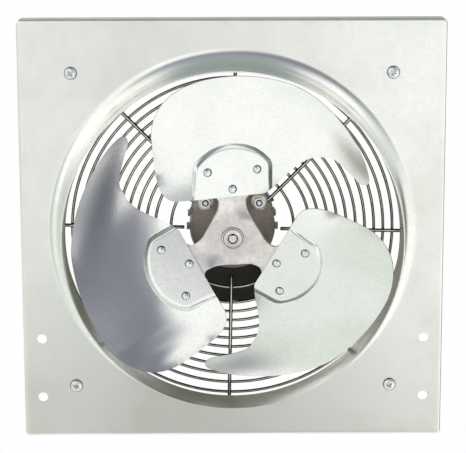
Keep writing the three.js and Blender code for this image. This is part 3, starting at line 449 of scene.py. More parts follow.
# %% Outlines
def rounded(points, steps=4):
    """Corners written (u, v, radius) become arcs, and corners written (u, v) stay."""
    out = []
    for i, point in enumerate(points):
        here = np.array(point[:2], float)
        radius = point[2] if len(point) > 2 else 0
        if radius <= 0:
            out.append(tuple(here))
            continue
        back = np.array(points[i - 1][:2], float) - here
        ahead = np.array(points[(i + 1) % len(points)][:2], float) - here
        back /= np.linalg.norm(back)
        ahead /= np.linalg.norm(ahead)
        half = math.acos(max(-1, min(1, float(back @ ahead)))) / 2
        middle = (back + ahead) / np.linalg.norm(back + ahead)
        centre = here + middle * radius / math.sin(half)
        start = here + back * radius / math.tan(half) - centre
        end = here + ahead * radius / math.tan(half) - centre
        sweep = math.atan2(start[0] * end[1] - start[1] * end[0], float(start @ end))
        for step in range(steps + 1):
            c, s = math.cos(sweep * step / steps), math.sin(sweep * step / steps)
            out.append((centre[0] + start[0] * c - start[1] * s,
                        centre[1] + start[0] * s + start[1] * c))
    return out


def circle(radius, sides, at=(0, 0)):
    turns = [math.pi / 2 + 2 * math.pi * k / sides for k in range(sides)]
    return [(at[0] + radius * math.cos(a), at[1] + radius * math.sin(a)) for a in turns]


def polar(radius, degrees):
    angle = math.radians(degrees)
    return (radius * math.cos(angle), radius * math.sin(angle))


corner = rounded([(0, 0, 1), (9, 0), (9, 9)], 4)[:-2]
print("a corner rounded in 4 steps has", len(corner), "points")


# %% Turned parts and prisms
def lathe(name, profile, material, place=None, sides=48, sharp=32):
    """Turns a closed profile of (radius, y) about the Y axis."""
    verts, rows, faces = [], [], []
    for radius, y in profile:
        if radius < 1e-6:
            rows.append([len(verts)] * sides)
            verts.append((0, y * MM, 0))
            continue
        rows.append(list(range(len(verts), len(verts) + sides)))
        verts += [(radius * MM * math.cos(2 * math.pi * k / sides), y * MM,
                   radius * MM * math.sin(2 * math.pi * k / sides)) for k in range(sides)]
    for i, row in enumerate(rows):
        after = rows[(i + 1) % len(rows)]
        for k in range(sides):
            n = (k + 1) % sides
            face = list(dict.fromkeys([row[k], row[n], after[n], after[k]]))
            if len(face) > 2:
                faces.append(face)
    return make(name, verts, faces, material, place, sharp)


def prism(name, outline, y0, y1, material=None, place=None, sharp=32):
    """Pushes an outline of (x, z) from one Y to another."""
    count = len(outline)
    verts = [(x * MM, y * MM, z * MM) for y in (y0, y1) for x, z in outline]
    faces = [[k, (k + 1) % count, (k + 1) % count + count, k + count] for k in range(count)]
    faces += [list(range(count)), list(range(count, 2 * count))]
    return make(name, verts, faces, material, place, sharp)


def bolt_holes(y0, y1):
    """Cutting tools for the four motor bolts."""
    return [prism("bolt_hole", circle(BOLT_HOLE_R, 24, (x * BOLT_AT, z * BOLT_AT)), y0, y1)
            for x, z in CORNERS]


# %% Round wire
def tube(path, radius, closed, sides, start):
    """Vertices and faces of a round wire along a path, with slightly domed ends."""
    path = np.array(path, float)
    tangent = np.roll(path, -1, 0) - np.roll(path, 1, 0) if closed else np.gradient(path, axis=0)
    tangent /= np.linalg.norm(tangent, axis=1)[:, None]
    side = np.cross(tangent, (0, 1, 0))
    side /= np.linalg.norm(side, axis=1)[:, None]
    up = np.cross(side, tangent)
    angles = np.arange(sides) * 2 * math.pi / sides
    rings = path[:, None] + radius * (np.cos(angles)[None, :, None] * side[:, None]
                                      + np.sin(angles)[None, :, None] * up[:, None])
    verts, faces, count = list(rings.reshape(-1, 3)), [], len(path)
    for i in range(count if closed else count - 1):
        a, b = start + i * sides, start + (i + 1) % count * sides
        faces += [[a + k, a + (k + 1) % sides, b + (k + 1) % sides, b + k] for k in range(sides)]
    if closed:
        return verts, faces
    for end, sign in ((0, -1), (count - 1, 1)):
        a, b = start + end * sides, start + len(verts)
        dome = path[end] + sign * tangent[end] * radius * 0.28
        verts += list(dome + (rings[end] - path[end]) * 0.72)
        faces += [[a + k, a + (k + 1) % sides, b + (k + 1) % sides, b + k] for k in range(sides)]
        faces.append([b + k for k in range(sides)])
    return verts, faces


def wires(name, runs, material, place, sides=12):
    verts, faces = [], []
    for path, radius, closed in runs:
        more, quads = tube(path, radius, closed, sides, len(verts))
        verts += more
        faces += quads
    return make(name, np.array(verts) * MM, faces, material, place, 50)


# %% Weld beads
def beads(name, centres, size, material, place):
    """Small lenses of weld metal."""
    ball = bmesh.new()
    bmesh.ops.create_icosphere(ball, subdivisions=2, radius=1.0)
    shape = np.array([v.co for v in ball.verts]) * np.array(size)
    parts = [[v.index for v in f.verts] for f in ball.faces]
    ball.free()
    verts, faces = [], []
    for centre in centres:
        faces += [[v + len(verts) for v in part] for part in parts]
        verts += list(shape + np.array(centre))
    return make(name, np.array(verts) * MM, faces, material, place, 80)


# %% Points in a flat outline
def inside(points, outline):
    x, z = points[:, 0], points[:, 1]
    result = np.zeros(len(points), bool)
    for a, b in zip(outline, np.roll(outline, -1, 0)):
        if a[1] == b[1]:
            continue
        crosses = (a[1] > z) != (b[1] > z)
        result ^= crosses & (x < (b[0] - a[0]) * (z - a[1]) / (b[1] - a[1]) + a[0])
    return result


def resample(outline, spacing):
    """The same closed outline with points about `spacing` mm apart."""
    points = np.array(outline, float)
    out = []
    for a, b in zip(points, np.roll(points, -1, 0)):
        pieces = max(1, round(np.linalg.norm(b - a) / spacing))
        if np.linalg.norm(b - a) > 1e-3:
            out += [a + (b - a) * k / pieces for k in range(pieces)]
    return np.array(out)


def clear_of(points, outline, gap):
    """The points that keep this far from the outline's own points."""
    return points[np.min(np.linalg.norm(points[:, None] - outline[None], axis=2), axis=1) > gap]


def lattice(outline, spacing, keep=None):
    """An even grid of triangles' corners inside an outline."""
    low, high = outline.min(0), outline.max(0)
    rows = np.arange(low[1], high[1], spacing * 0.866)
    grid = np.array([(x + (i % 2) * spacing / 2, z) for i, z in enumerate(rows)
                     for x in np.arange(low[0], high[0], spacing)])
    grid = grid[inside(grid, outline)]
    if keep is not None:
        grid = grid[keep(grid[:, 0], grid[:, 1])]
    return clear_of(grid, outline, spacing * 0.55)


square = np.array([(0, 0), (10, 0), (10, 10), (0, 10)], float)
print("points 2 mm apart in a square of 10 mm:", len(lattice(square, 2)))


# %% A stamped sheet
def stamped(name, outline, grids, height, thickness, material, place, edge):
    """A sheet of one thickness whose front face lies at height(x, z)."""
    points = [Vector(p) for p in np.vstack([outline, *grids])]
    border = [list(range(len(outline)))]
    flat, _, triangles, *_ = delaunay_2d_cdt(points, [], border, 1, 1e-4)
    x, z = np.array([tuple(p) for p in flat]).T
    y, step = height(x, z), 0.05
    normal = np.stack([-(height(x + step, z) - y) / step, np.ones(len(y)),
                       -(height(x, z + step) - y) / step], 1)
    normal /= np.linalg.norm(normal, axis=1)[:, None]
    front = np.stack([x, y, z], 1)
    count = len(front)
    faces = [list(t) for t in triangles] + [[v + count for v in reversed(t)] for t in triangles]
    sides = {pair for a, b, c in triangles for pair in ((a, b), (b, c), (c, a))}
    faces += [[b, a, a + count, b + count] for a, b in sides if (b, a) not in sides]
    verts = np.vstack([front, front + normal * thickness]) * MM
    return soften(make(name, verts, faces, material, place, 40), edge, 2, 55)


# %% [markdown]
# ## The panel and its throat
# One sheet of galvanised steel: bent edges, a flat face, a rounded shoulder and a throat that
# was spun out of the same metal. A plate and a tube could be joined by a boolean, but the
# shoulder has to flow. So the sheet's section is walked once round, outside and then inside,
# with the same angles at every level, and turns from a square to a circle on the way.

# %% A square with round corners
def square_point(angle, half, corner):
    """Where a ray at this angle meets a square with rounded corners."""
    c, s = math.cos(angle), math.sin(angle)
    reach = half / max(abs(c), abs(s))
    middle = half - corner
    if min(abs(reach * c), abs(reach * s)) > middle:
        mx, mz = math.copysign(middle, c), math.copysign(middle, s)
        b = c * mx + s * mz
        reach = b + math.sqrt(max(b * b - 2 * middle * middle + corner * corner, 0))
    return reach * c, reach * s


reach = math.hypot(*square_point(math.radians(45), HALF, CORNER))
print("the panel's corners lie", round(reach, 1), "mm from the hub's axis")


# %% Levels of the panel
def panel_levels(depth):
    """Levels of one face of the sheet, `depth` inside the outer face, from the flange in."""
    edge = HALF - depth
    levels = [("square", edge, y) for y in (FLANGE, 17.0, 9.0, BEND)]
    for i in range(1, 7):
        a = math.pi / 2 * i / 6
        levels.append(("square", HALF - BEND + (BEND - depth) * math.cos(a),
                       BEND - (BEND - depth) * math.sin(a)))
    levels += [("blend", share, depth) for share in (0.06, 0.35, 0.7, 1.0)]
    centre, radius = THROAT_R + FILLET, FILLET + depth
    for i in range(19):
        a = math.radians(90 + 5 * i)
        levels.append(("round", centre + radius * math.cos(a), -FILLET + radius * math.sin(a)))
    return levels + [("round", THROAT_R - depth, y) for y in (-26.0, -40.0, -THROAT_L)]


print("levels of one face:", len(panel_levels(0.0)))


# %% One ring of points
def panel_ring(kind, size, y, angles):
    circle_radius = THROAT_R + FILLET + 3
    for angle in angles:
        if kind == "square":
            x, z = square_point(angle, size, max(CORNER - (HALF - size), 1.0))
        elif kind == "round":
            x, z = size * math.cos(angle), size * math.sin(angle)
        else:
            ax, az = square_point(angle, HALF - BEND, 1.0)
            bx, bz = circle_radius * math.cos(angle), circle_radius * math.sin(angle)
            x, z = ax + (bx - ax) * size, az + (bz - az) * size
        yield (x * MM, y * MM, z * MM)


# %% Panel sheet
# each corner gets 13 rays 0.13 degrees apart, so that its 4 mm arc is round
corner_angles = [math.radians(45 + 90 * q + 0.13 * i) for q in range(4) for i in range(-6, 7)]
even_angles = [2 * math.pi * k / 240 for k in range(240)]
far_angles = [a for a in even_angles if min(abs(a - c) for c in corner_angles) > math.radians(0.5)]
angles = sorted(far_angles + corner_angles)
levels = panel_levels(0.0) + panel_levels(SHEET)[::-1]
verts = [v for kind, size, y in levels for v in panel_ring(kind, size, y, angles)]
count, faces = len(angles), []
for row in range(len(levels)):
    a, b = row * count, (row + 1) % len(levels) * count
    faces += [[a + k, a + (k + 1) % count, b + (k + 1) % count, b + k] for k in range(count)]
panel = make("panel_sheet", verts, faces, galvanised, ["housing", "galvanised", "mounting_panel"])
print("rings of the panel:", len(levels), "with", count, "points each")

# %% Holes and corner seams
tools = [prism("drill", circle(HOLE_R, 40, at), -3, 5) for at in HOLES]
tools += [prism("clearance", circle(BOLT_HOLE_R, 32, (x * SCREW_AT, z * SCREW_AT)), -3, 5)
          for x, z in CORNERS]
for quarter in range(4):
    # the open seam where two bent edges meet, cut across the panel's corner
    seam = prism("seam", [(-0.6, 270), (0.6, 270), (0.6, 285), (-0.6, 285)], 2.4, 30)
    seam.data.transform(spin(45 + 90 * quarter))
    tools.append(seam)
carve(panel, tools, sharp=30)
settle(soften(panel, 0.25, 2, 60))
print("panel faces:", len(panel.data.polygons))

# %% [markdown]
# ## The guard
# Rings behind straight spokes, with a small weld at each crossing, and four arms whose eyes
# hold the motor bolts and the panel's screws. Curves with a round bevel would do too. Rings of
# points laid along each path give the same wire, with domed ends where it was cropped, and one
# mesh for the whole guard.

# %% Rings, spokes and welds
STEEL_WIRE = ["housing", "plated_wire"]
SPOKE_TURNS, SPOKE_ENDS = (-1.2, 88.8, 178.8, 268.8), (45.8, 163.9)
ARM_TURNS = (45, 135, 225, 315)
WELD = (1.7, 0.9, 1.7)
runs = []
for radius in RINGS:
    ring = [polar(radius, 2.25 * k) for k in range(160)]
    runs.append(([(x, RING_Y, z) for x, z in ring], RING_R, True))
spots = []
for spoke in SPOKE_TURNS:
    ends = [polar(r, spoke) for r in np.linspace(*SPOKE_ENDS, 12)]
    runs.append(([(x, SPOKE_Y, z) for x, z in ends], ARM_R, False))
    spots += [(polar(r, spoke)[0], SPOKE_Y + ARM_R, polar(r, spoke)[1]) for r in RINGS]
for arm in ARM_TURNS:
    for radius in RINGS:
        x, z = polar(radius, -arm - math.degrees(math.asin(EYE_R / radius)))
        spots.append((x, RING_Y - 1.6, z))
settle(wires("guard_wires", runs, wire_steel, STEEL_WIRE + ["wire_guard"]))
settle(beads("guard_welds", spots, WELD, wire_steel, STEEL_WIRE))
print("guard:", len(runs), "wires and", len(spots), "welds")

# %% Arms with an eye at both ends
inner, outer = BOLT_AT * math.sqrt(2), SCREW_AT * math.sqrt(2)
rise_end = outer - 2 * EYE_R
# round the bolt, straight out, down to the panel in a soft S, and round the screw
path = [(inner + EYE_R * math.cos(a), ARM_Y, EYE_R * math.sin(a))
        for a in np.radians(np.linspace(-90 - EYE_WRAP, -90, 34))]
path += [(x, ARM_Y, -EYE_R) for x in np.linspace(inner + 4, rise_end - FOOT_RISE, 14)]
for share in np.linspace(0, 1, 15)[1:]:
    height = ARM_Y + (FOOT_Y - ARM_Y) * share * share * (3 - 2 * share)
    path.append((rise_end - FOOT_RISE * (1 - share), height, -EYE_R))
path += [(x, FOOT_Y, -EYE_R) for x in np.linspace(rise_end + 2, outer - 2, 4)]
path += [(outer + EYE_R * math.cos(a), FOOT_Y, EYE_R * math.sin(a))
         for a in np.radians(np.linspace(-90, -90 + EYE_WRAP, 34))]
for i, turn in enumerate(ARM_TURNS, 1):
    arm = wires(f"arm_wire_{i}", [(path, ARM_R, False)], wire_steel,
                STEEL_WIRE + [f"guard_arm_{i}"])
    arm.data.transform(spin(turn))
    settle(arm)
print("arms run from", round(inner, 1), "to", round(outer, 1), "mm from the axis")

# %% [markdown]
# ## The blades
# Three blades cut from one outline and pressed in one die. Each is pitched, cupped and curled,
# and a raised pad at its root lies flat on the spider's paddle. A subdivided plane could be
# pulled into shape, but the surface is known as a height over the flat blank, and so every
# point of the blank is simply lifted to it. Rows of points that follow the pad's foot keep its
# crease sharp.

# %% Blade outline
def bezier(a, b, c, d, steps):
    t = np.linspace(0, 1, steps + 1)[1:, None]
    a, b, c, d = (np.array(p, float) for p in (a, b, c, d))
    return a * (1 - t) ** 3 + 3 * b * t * (1 - t) ** 2 + 3 * c * t * t * (1 - t) + d * t ** 3


# in shares of the propeller's radius: root, leading edge, tip arc and trailing edge
arc = [polar(1, 67.6 + 32 * k / 20) for k in range(21)]
points = [np.linspace((-0.335, 0.254), (0.195, 0.267), 40)]
for a, b, c, d, steps in (
        ((0.195, 0.267), (0.32, 0.323), (0.404, 0.488), (0.565, 0.462), 30),
        ((0.565, 0.462), (0.623, 0.487), (0.75, 0.33), (0.785, 0.295), 20),
        ((0.785, 0.295), (0.823, 0.26), (0.865, 0.277), (0.851, 0.332), 16),
        ((0.851, 0.332), (0.804, 0.528), (0.625, 0.805), arc[0], 40)):
    points.append(bezier(a, b, c, d, steps))
points.append(np.array(arc[1:]))
points.append(bezier(arc[-1], (-0.443, 0.928), (-0.496, 0.735), (-0.482, 0.62), 30))
points.append(bezier((-0.482, 0.62), (-0.468, 0.44), (-0.455, 0.2605), (-0.335, 0.254), 30)[:-1])
blade_outline = np.vstack(points) * PROP_R
print("blade outline:", len(blade_outline), "points")


# %% Blade face and its raised pad
PAD_HALF, PAD_ARC_R, PAD_ARC_Z = 36.5, 44, 44


def smooth_min(a, b, reach):
    """The lesser of two values, rounded where they cross."""
    share = np.clip(0.5 + 0.5 * (b - a) / reach, 0, 1)
    return b + (a - b) * share - reach * share * (1 - share)


def smooth_step(value):
    value = np.clip(value, 0, 1)
    return value * value * (3 - 2 * value)


def pad_depth(x, z):
    """How far inside the foot of the raised pad a point lies."""
    to_arc = PAD_ARC_R - np.hypot(x, np.maximum(z - PAD_ARC_Z, 0))
    return smooth_min(PAD_HALF - np.abs(x), to_arc, 2.5)


def blade_height(x, z):
    out = z - 80  # from the middle of the blade towards its tip
    base = BLADE_Y + PITCH_SLOPE * x - out ** 2 / 388 - x ** 3 / 290 ** 2 - x ** 2 * out / 219 ** 2
    # the leading half swells back near the root and forward near the tip, the other half back
    wave = np.sin(math.pi * np.clip((x + 5) / 139, 0, 1)) ** 2
    base = base + wave * np.clip(2.4 - 1.6 * (z - 65) / 30, -1.5, 3.0)
    base = base + 1.2 * np.sin(math.pi * np.clip((-x - 12) / 66, 0, 1)) ** 2
    # the trailing edge curls back, most of all at its outer corner
    base = base + 0.0038 * np.clip(-x - 46, 0, 30) ** 2 * smooth_step((z - 48) / 24)
    beyond = np.clip(z - 78, 0, 60)
    base = base + 0.055 * np.clip(-x - 36, 0, 18) / 18 * beyond ** 2 / (beyond + 12)
    seat = SEAT_Y + SEAT_SLOPE * x
    rise = np.clip(pad_depth(x, z) / (5.2 - 1.2 * smooth_step((x - 15) / 15)), 0, 1)
    return base + (seat - base) * (1 - (1 - rise) ** 2)


print("the blade's face at its middle: y", round(float(blade_height(0.0, 80.0)), 1))


# %% Rows of points along the pad
def pad_line(depth):
    """Points of the blade where the pad has this depth."""
    turns = np.radians(np.linspace(-25, 205, 150))
    near, far = np.zeros(len(turns)), np.full(len(turns), 80.0)
    for _ in range(40):
        middle = (near + far) / 2
        deep = pad_depth(middle * np.cos(turns), PAD_ARC_Z + middle * np.sin(turns)) > depth
        near, far = np.where(deep, middle, near), np.where(deep, far, middle)
    line = np.stack([near * np.cos(turns), PAD_ARC_Z + near * np.sin(turns)], 1)
    return clear_of(line[inside(line, blade_outline)], blade_outline, 0.7)


def off_the_pad_edge(x, z):
    return (pad_depth(x, z) < -2.2) | (pad_depth(x, z) > 7.2)


# the rows stand closest at the pad's foot, where its crease is
PAD_ROWS = (-1.2, -0.35, 0.0, 0.35, 0.9, 1.6, 2.4, 3.3, 4.3, 5.4, 6.6)
grids = [lattice(blade_outline, 3.4, off_the_pad_edge)] + [pad_line(depth) for depth in PAD_ROWS]
print("points of a blade:", sum(len(grid) for grid in grids), "in", len(grids), "grids")

# %% Three blades
first = stamped("blade_sheet_1", blade_outline, grids, blade_height, BLADE_T, blade_steel,
                ["rotor", "blade_sheet", "blade_1"], 0.3)
print("blade faces:", len(first.data.polygons))
blades = [first]
for i in (1, 2):
    copy = bpy.data.objects.new(f"blade_sheet_{i + 1}", first.data.copy())
    bpy.context.collection.objects.link(copy)
    copy.data.transform(spin(-120 * i))
    copy["place"] = ["rotor", "blade_sheet", f"blade_{i + 1}"]
    blades.append(copy)
for blade in blades:
    settle(blade)

# %% [markdown]
# ## The spider
# The spider is one stamping of 2.6 mm steel: a flat middle on the hub, three necks that twist
# to the blades' pitch, and a paddle on each for three rivets. It could be bent from a flat
# mesh with modifiers, but like the blades it is a blank whose points are lifted to a height.

# %% Spider
flat, neck, paddle = 24.6, 12.4, 27.0
c30, s30 = math.cos(math.pi / 6), math.sin(math.pi / 6)
neck_z = (flat - neck * c30) / s30
half = [(flat * c30, flat * s30, 0), (neck, neck_z, 24), (neck, neck_z + 8.8, 5), (paddle, 50, 9),
        (paddle, 69, 9), (13.5, 78, 18)]
lobe = half + [(-x, z, r) for x, z, r in reversed(half)][:-1]
THIRDS = [(math.cos(math.radians(120 * k)), math.sin(math.radians(120 * k))) for k in range(3)]
lobe_corners = [(x * c - z * s, x * s + z * c, r) for c, s in THIRDS for x, z, r in lobe]
spider_outline = resample(rounded(lobe_corners, 7), 1.7)


def spider_height(x, z):
    """Flat in the middle, and pitched like the blades' seats along each neck."""
    y = np.full(np.shape(x), SPIDER_Y, float)
    for c, s in THIRDS:
        along = -x * s + z * c
        y = y + SEAT_SLOPE * (x * c + z * s) * smooth_step((along - 15) / 19)
    return y


spider = stamped("spider_stamping", spider_outline, [lattice(spider_outline, 1.9)], spider_height,
                 SPIDER_T, stamped_steel, ["rotor", "satin_steel", "spider"], 0.5)
settle(carve(spider, [prism("bore", circle(9.0, 64), -40, -25)], sharp=40))
print("spider faces:", len(spider.data.polygons))

# %% [markdown]
# ## Hub, shaft and set screw
# The hub is turned from bar: a collar pressed through the spider and rolled over in front, a
# flange behind it, and a sleeve with a set screw that bites on the shaft's flat. Stacked
# cylinders would leave the fillets out. A section spun round the axis has them all, and the
# holes are cut afterwards, as they were on the real one.

# %% Hub
HUB_Y = SPIDER_Y - GAP - 1.6
HUB_FLANGE_Y = SPIDER_Y + SPIDER_T + GAP
HUB_REAR_Y = HUB_FLANGE_Y + 18
HUB_BORE_R = SHAFT_R + GAP
TO_SCREW = shift(y=HUB_REAR_Y - 7.5) @ spin(90, "X")
hub = lathe("hub_turning", rounded([
    # the rolled collar in front, with a fine groove round it
    (HUB_BORE_R, HUB_Y + 0.75), (4.75, HUB_Y), (8.3, HUB_Y, 0.12), (8.65, HUB_Y + 0.6),
    (8.8, HUB_Y + 0.6), (9.15, HUB_Y, 0.12), (10.1, HUB_Y), (10.4, HUB_Y + 0.5),
    (10.4, HUB_Y + 1.6), (8.7, HUB_Y + 1.6),
    # the flange and the sleeve behind the spider
    (8.7, HUB_FLANGE_Y), (14, HUB_FLANGE_Y, 0.4), (14, HUB_FLANGE_Y + 3, 0.5),
    (11, HUB_FLANGE_Y + 3, 0.6), (11, HUB_REAR_Y, 0.6), (HUB_BORE_R, HUB_REAR_Y)], 3),
    ground_steel, ["rotor", "shaft_steel", "hub_bushing"], 96)
hole = prism("hole", circle(2.7, 32), 0, 14)
hole.data.transform(TO_SCREW)
settle(carve(hub, [hole]))
print("hub: from y", round(HUB_Y, 1), "to", round(HUB_REAR_Y, 1))

# %% Shaft
SHAFT_TIP, SHAFT_END = -37, REAR_Y + 3.9
shaft = lathe("shaft_rod", rounded([
    (0, SHAFT_TIP), (3.3, SHAFT_TIP), (SHAFT_R, SHAFT_TIP + 0.6),
    (SHAFT_R, REAR_Y + 3.85, 0.3), (0, SHAFT_END)], 3),
    ground_steel, ["rotor", "shaft_steel", "shaft"], 64)
# the flat that the set screw bites on
flat_side = prism("flat", [(-6, 3.17), (6, 3.17), (6, 8), (-6, 8)], -40, HUB_REAR_Y + 2)
settle(carve(shaft, [flat_side]))
print("shaft: from y", SHAFT_TIP, "to", round(SHAFT_END, 1))

# %% Set screw
grub = lathe("set_screw_turning",
             rounded([(0, 3.6), (1.8, 3.6), (2.35, 4.1), (2.35, 11.8, 0.25), (0, 11.8)], 3),
             dark_steel, ["rotor", "dark_steel", "set_screw"], 32)
carve(grub, [prism("socket", circle(1.35, 6), 9.3, 14)])
grub.data.transform(TO_SCREW)
settle(grub)
print("set screw at y", round(HUB_REAR_Y - 7.5, 1))

# %% [markdown]
# ## Rivets
# Nine steel rivets hold the blades. The factory head in front is low and domed, and the tail
# behind the spider was upset flat. A sphere and a cylinder would stand in for them from afar,
# but a turned section draws head, shank and tail at once. Each is tilted square to its seat.

# %% Rivets
RIVET_PLACES = [(0, 46.4), (-22.7, 63.2), (22.7, 63.2)]
stack = (BLADE_T + GAP + SPIDER_T) * math.cos(SEAT_PITCH) + GAP
rivet_profile = [(0, -2.48), (1.1, -2.44), (2.1, -2.28), (2.9, -1.95), (3.5, -1.4), (3.9, -0.75),
                 (4.0, -GAP), (2.4, -GAP), (2.4, stack), (3.45, stack), (3.6, stack + 0.4),
                 (3.1, stack + 1.15), (1.7, stack + 1.48), (0, stack + 1.5)]
for i in range(3):
    for j, (x, z) in enumerate(RIVET_PLACES, 1):
        rivet = lathe(f"rivet_{i + 1}_{j}", rivet_profile, zinc_plate,
                      ["rotor", "zinc", f"blade_{i + 1}_rivet_{j}"], 36)
        seat = shift(x, SEAT_Y + SEAT_SLOPE * x, z) @ Matrix.Rotation(SEAT_PITCH, 4, "Z")
        rivet.data.transform(spin(-120 * i) @ seat)
        settle(rivet)
print("rivets:", 3 * len(RIVET_PLACES), "through a stack of", round(stack, 2), "mm")

# %% [markdown]
# ## Fasteners
# Screws with a cross recess, chamfered nuts, cup washers and long threaded motor bolts. Real
# threads are helices. From here they only need their shadow lines, so each is a turned row of
# crests. A nut is a hexagon cut back by a cone, which leaves the curved corners of a real one.

# %% Threads
def thread(start, end, core, crest, pitch=0.8):
    """A run of thread crests as a turned profile from one Y to another."""
    turns = int((end - start) / pitch)
    out = []
    for k in range(turns):
        y = start + k * pitch
        out += [(core, y), (crest, y + pitch * 0.4), (crest, y + pitch * 0.6)]
    return out + [(core, start + turns * pitch)]


print("crests on a thread of 10 mm:", len(thread(0, 10, 2.1, 2.4)) // 3)


# %% Nuts and hexagon heads
def hexagon(name, y0, y1, material, place, chamfer_front=0.5, chamfer_rear=0.5):
    """A hexagon whose corners are turned away at one or both ends."""
    corner = NUT_FLATS / math.sqrt(3)
    body = prism(name, circle(corner, 6), y0, y1, material, place)
    flat_r = NUT_FLATS / 2 - 0.05
    cone = lathe("cone", [(0, y0), (flat_r, y0), (corner + 0.1, y0 + chamfer_front),
                          (corner + 0.1, y1 - chamfer_rear), (flat_r, y1), (0, y1)], None, sides=64)
    return carve(body, [cone], "INTERSECT", 28)


def nut(name, y, node, x, z, turn):
    """A nut with its front at y, turned as a spanner left it."""
    body = hexagon(name, y, y + NUT_T, zinc_plate, ["housing", "zinc", node])
    end = y + NUT_T
    hole = lathe("hole", [(0, y - 1), (3.3, y - 1), (3.2, y + 0.1), (2.7, y + 0.5),
                          (2.7, end - 0.5), (3.2, end - 0.1), (3.3, end + 1), (0, end + 1)],
                 None, sides=32)
    carve(body, [hole], sharp=28)
    body.data.transform(shift(x, 0, z) @ spin(turn))
    return settle(body)


# %% Panel screws and their nuts
THREAD_CORE, THREAD_CREST = 2.1, 2.4
SCREW_TURNS, NUT_TURNS = (12, 50, -24, 33), (9, 22, 40, 17)
screw_profile = [(0, -2.88), (2.0, -2.85), (3.6, -2.72), (4.6, -2.48), (5.3, -2.08), (5.8, -1.45),
                 (6.05, -0.8), (6.0, -GAP), (2.4, -GAP), (2.4, 1.5)]
screw_profile += thread(1.7, 10.4, THREAD_CORE, THREAD_CREST) + [(1.9, 10.95), (0, 11.0)]


def cross_recess(w, h):
    """A cross of arms 2w wide that tapers to half its size at its floor."""
    cross = prism("recess", [(-h, -w), (-w, -w), (-w, -h), (w, -h), (w, -w), (h, -w), (h, w),
                             (w, w), (w, h), (-w, h), (-w, w), (-h, w)], -4.0, -1.0)
    for corner in cross.data.vertices:
        if corner.co.y > -2 * MM:
            corner.co.x *= 0.5
            corner.co.z *= 0.5
    return cross


for i, (sx, sz) in enumerate(CORNERS):
    x, z = sx * SCREW_AT, sz * SCREW_AT
    screw = lathe(f"screw_{i + 1}", screw_profile, zinc_plate,
                  ["housing", "zinc", f"panel_screw_{i + 1}"], 48)
    cross = cross_recess(0.65, 3.0)
    cross.data.transform(spin(SCREW_TURNS[i]))
    carve(screw, [cross])
    screw.data.transform(shift(x, 0, z))
    settle(screw)
    nut(f"foot_nut_{i + 1}", FOOT_Y + ARM_R + GAP, f"panel_nut_{i + 1}", x, z, NUT_TURNS[i])
print("panel screws at", SCREW_AT, "mm to each side")

# %% Motor bolts, nuts and cup washers
# each bolt runs from its head behind the motor through both shields and the arm's eye
OUTER_NUT_Y = ARM_Y - ARM_R - 2 * GAP - WASHER_H - NUT_T
WASHER_Y = ARM_Y - ARM_R - GAP
TIP_Y = OUTER_NUT_Y - 1.2
rod = [(0, TIP_Y), (1.8, TIP_Y), (THREAD_CORE, TIP_Y + 0.3)]
rod += thread(TIP_Y + 0.4, 22.2, THREAD_CORE, THREAD_CREST)
rod += [(THREAD_CREST, 23.0), (THREAD_CREST, REAR_Y + 1.0), (0, REAR_Y + 1.0)]
y = WASHER_Y - WASHER_H
cup = rounded([(2.8, y), (6.4, y, 0.9), (8.0, WASHER_Y - 0.9, 0.4), (8.0, WASHER_Y, 0.2),
               (7.2, WASHER_Y), (5.9, y + 1.1, 0.5), (2.8, y + 1.1)], 3)
for i, (sx, sz) in enumerate(CORNERS):
    x, z = sx * BOLT_AT, sz * BOLT_AT
    stud = lathe("stud", rod, zinc_plate, ["housing", "zinc", f"motor_bolt_{i + 1}"], 24)
    head = hexagon("head", REAR_Y + GAP, REAR_Y + GAP + 4, zinc_plate, None, 0.05, 0.6)
    bolt = join(f"long_bolt_{i + 1}", [stud, head])
    bolt.data.transform(shift(x, 0, z))
    settle(bolt)
    nut(f"inner_nut_{i + 1}", MOTOR_Y - GAP - NUT_T, f"motor_nut_{i + 1}", x, z, 11 + 17 * i)
    nut(f"outer_nut_{i + 1}", OUTER_NUT_Y, f"arm_nut_{i + 1}", x, z, 25 * i)
    washer = lathe(f"washer_{i + 1}", cup, cream_plate,
                   ["housing", "zinc", f"cup_washer_{i + 1}"], 48)
    washer.data.transform(shift(x, 0, z))
    settle(washer)
print("motor bolts from y", round(TIP_Y, 1), "to", round(REAR_Y + GAP + 4, 1))

# %% [markdown]
# ## The motor's shields and cups
# Each end shield was drawn from sheet into a cup with a rounded shoulder, then pierced with
# vents and bolt holes. It has small lugs on its side, and a smaller cup in its mouth holds the
# bearing. A cylinder could be inset and extruded by hand, but a turned section gives the
# shoulder, the mouth and the thickness at once. Only the lugs are bevelled. The rear pair is
# made like the front pair and mirrored.

# %% Vents and the way of the leads
def bent_slot():
    """A vent through the shield's side, with round ends."""
    shape = rounded([(-2.25, -8, 2.2), (2.25, -8, 2.2), (2.25, 8, 2.2), (-2.25, 8, 2.2)], 6)
    slot = prism("vent", shape, 36, 44)
    slot.data.transform(spin(-90, "Z"))
    return slot


def passage(y):
    """The hole through which the leads drop from the motor into the wiring box."""
    hole = prism("passage", circle(5.0, 32), 30, 60)
    hole.data.transform(shift(y=y) @ spin(-90, "X"))
    return hole


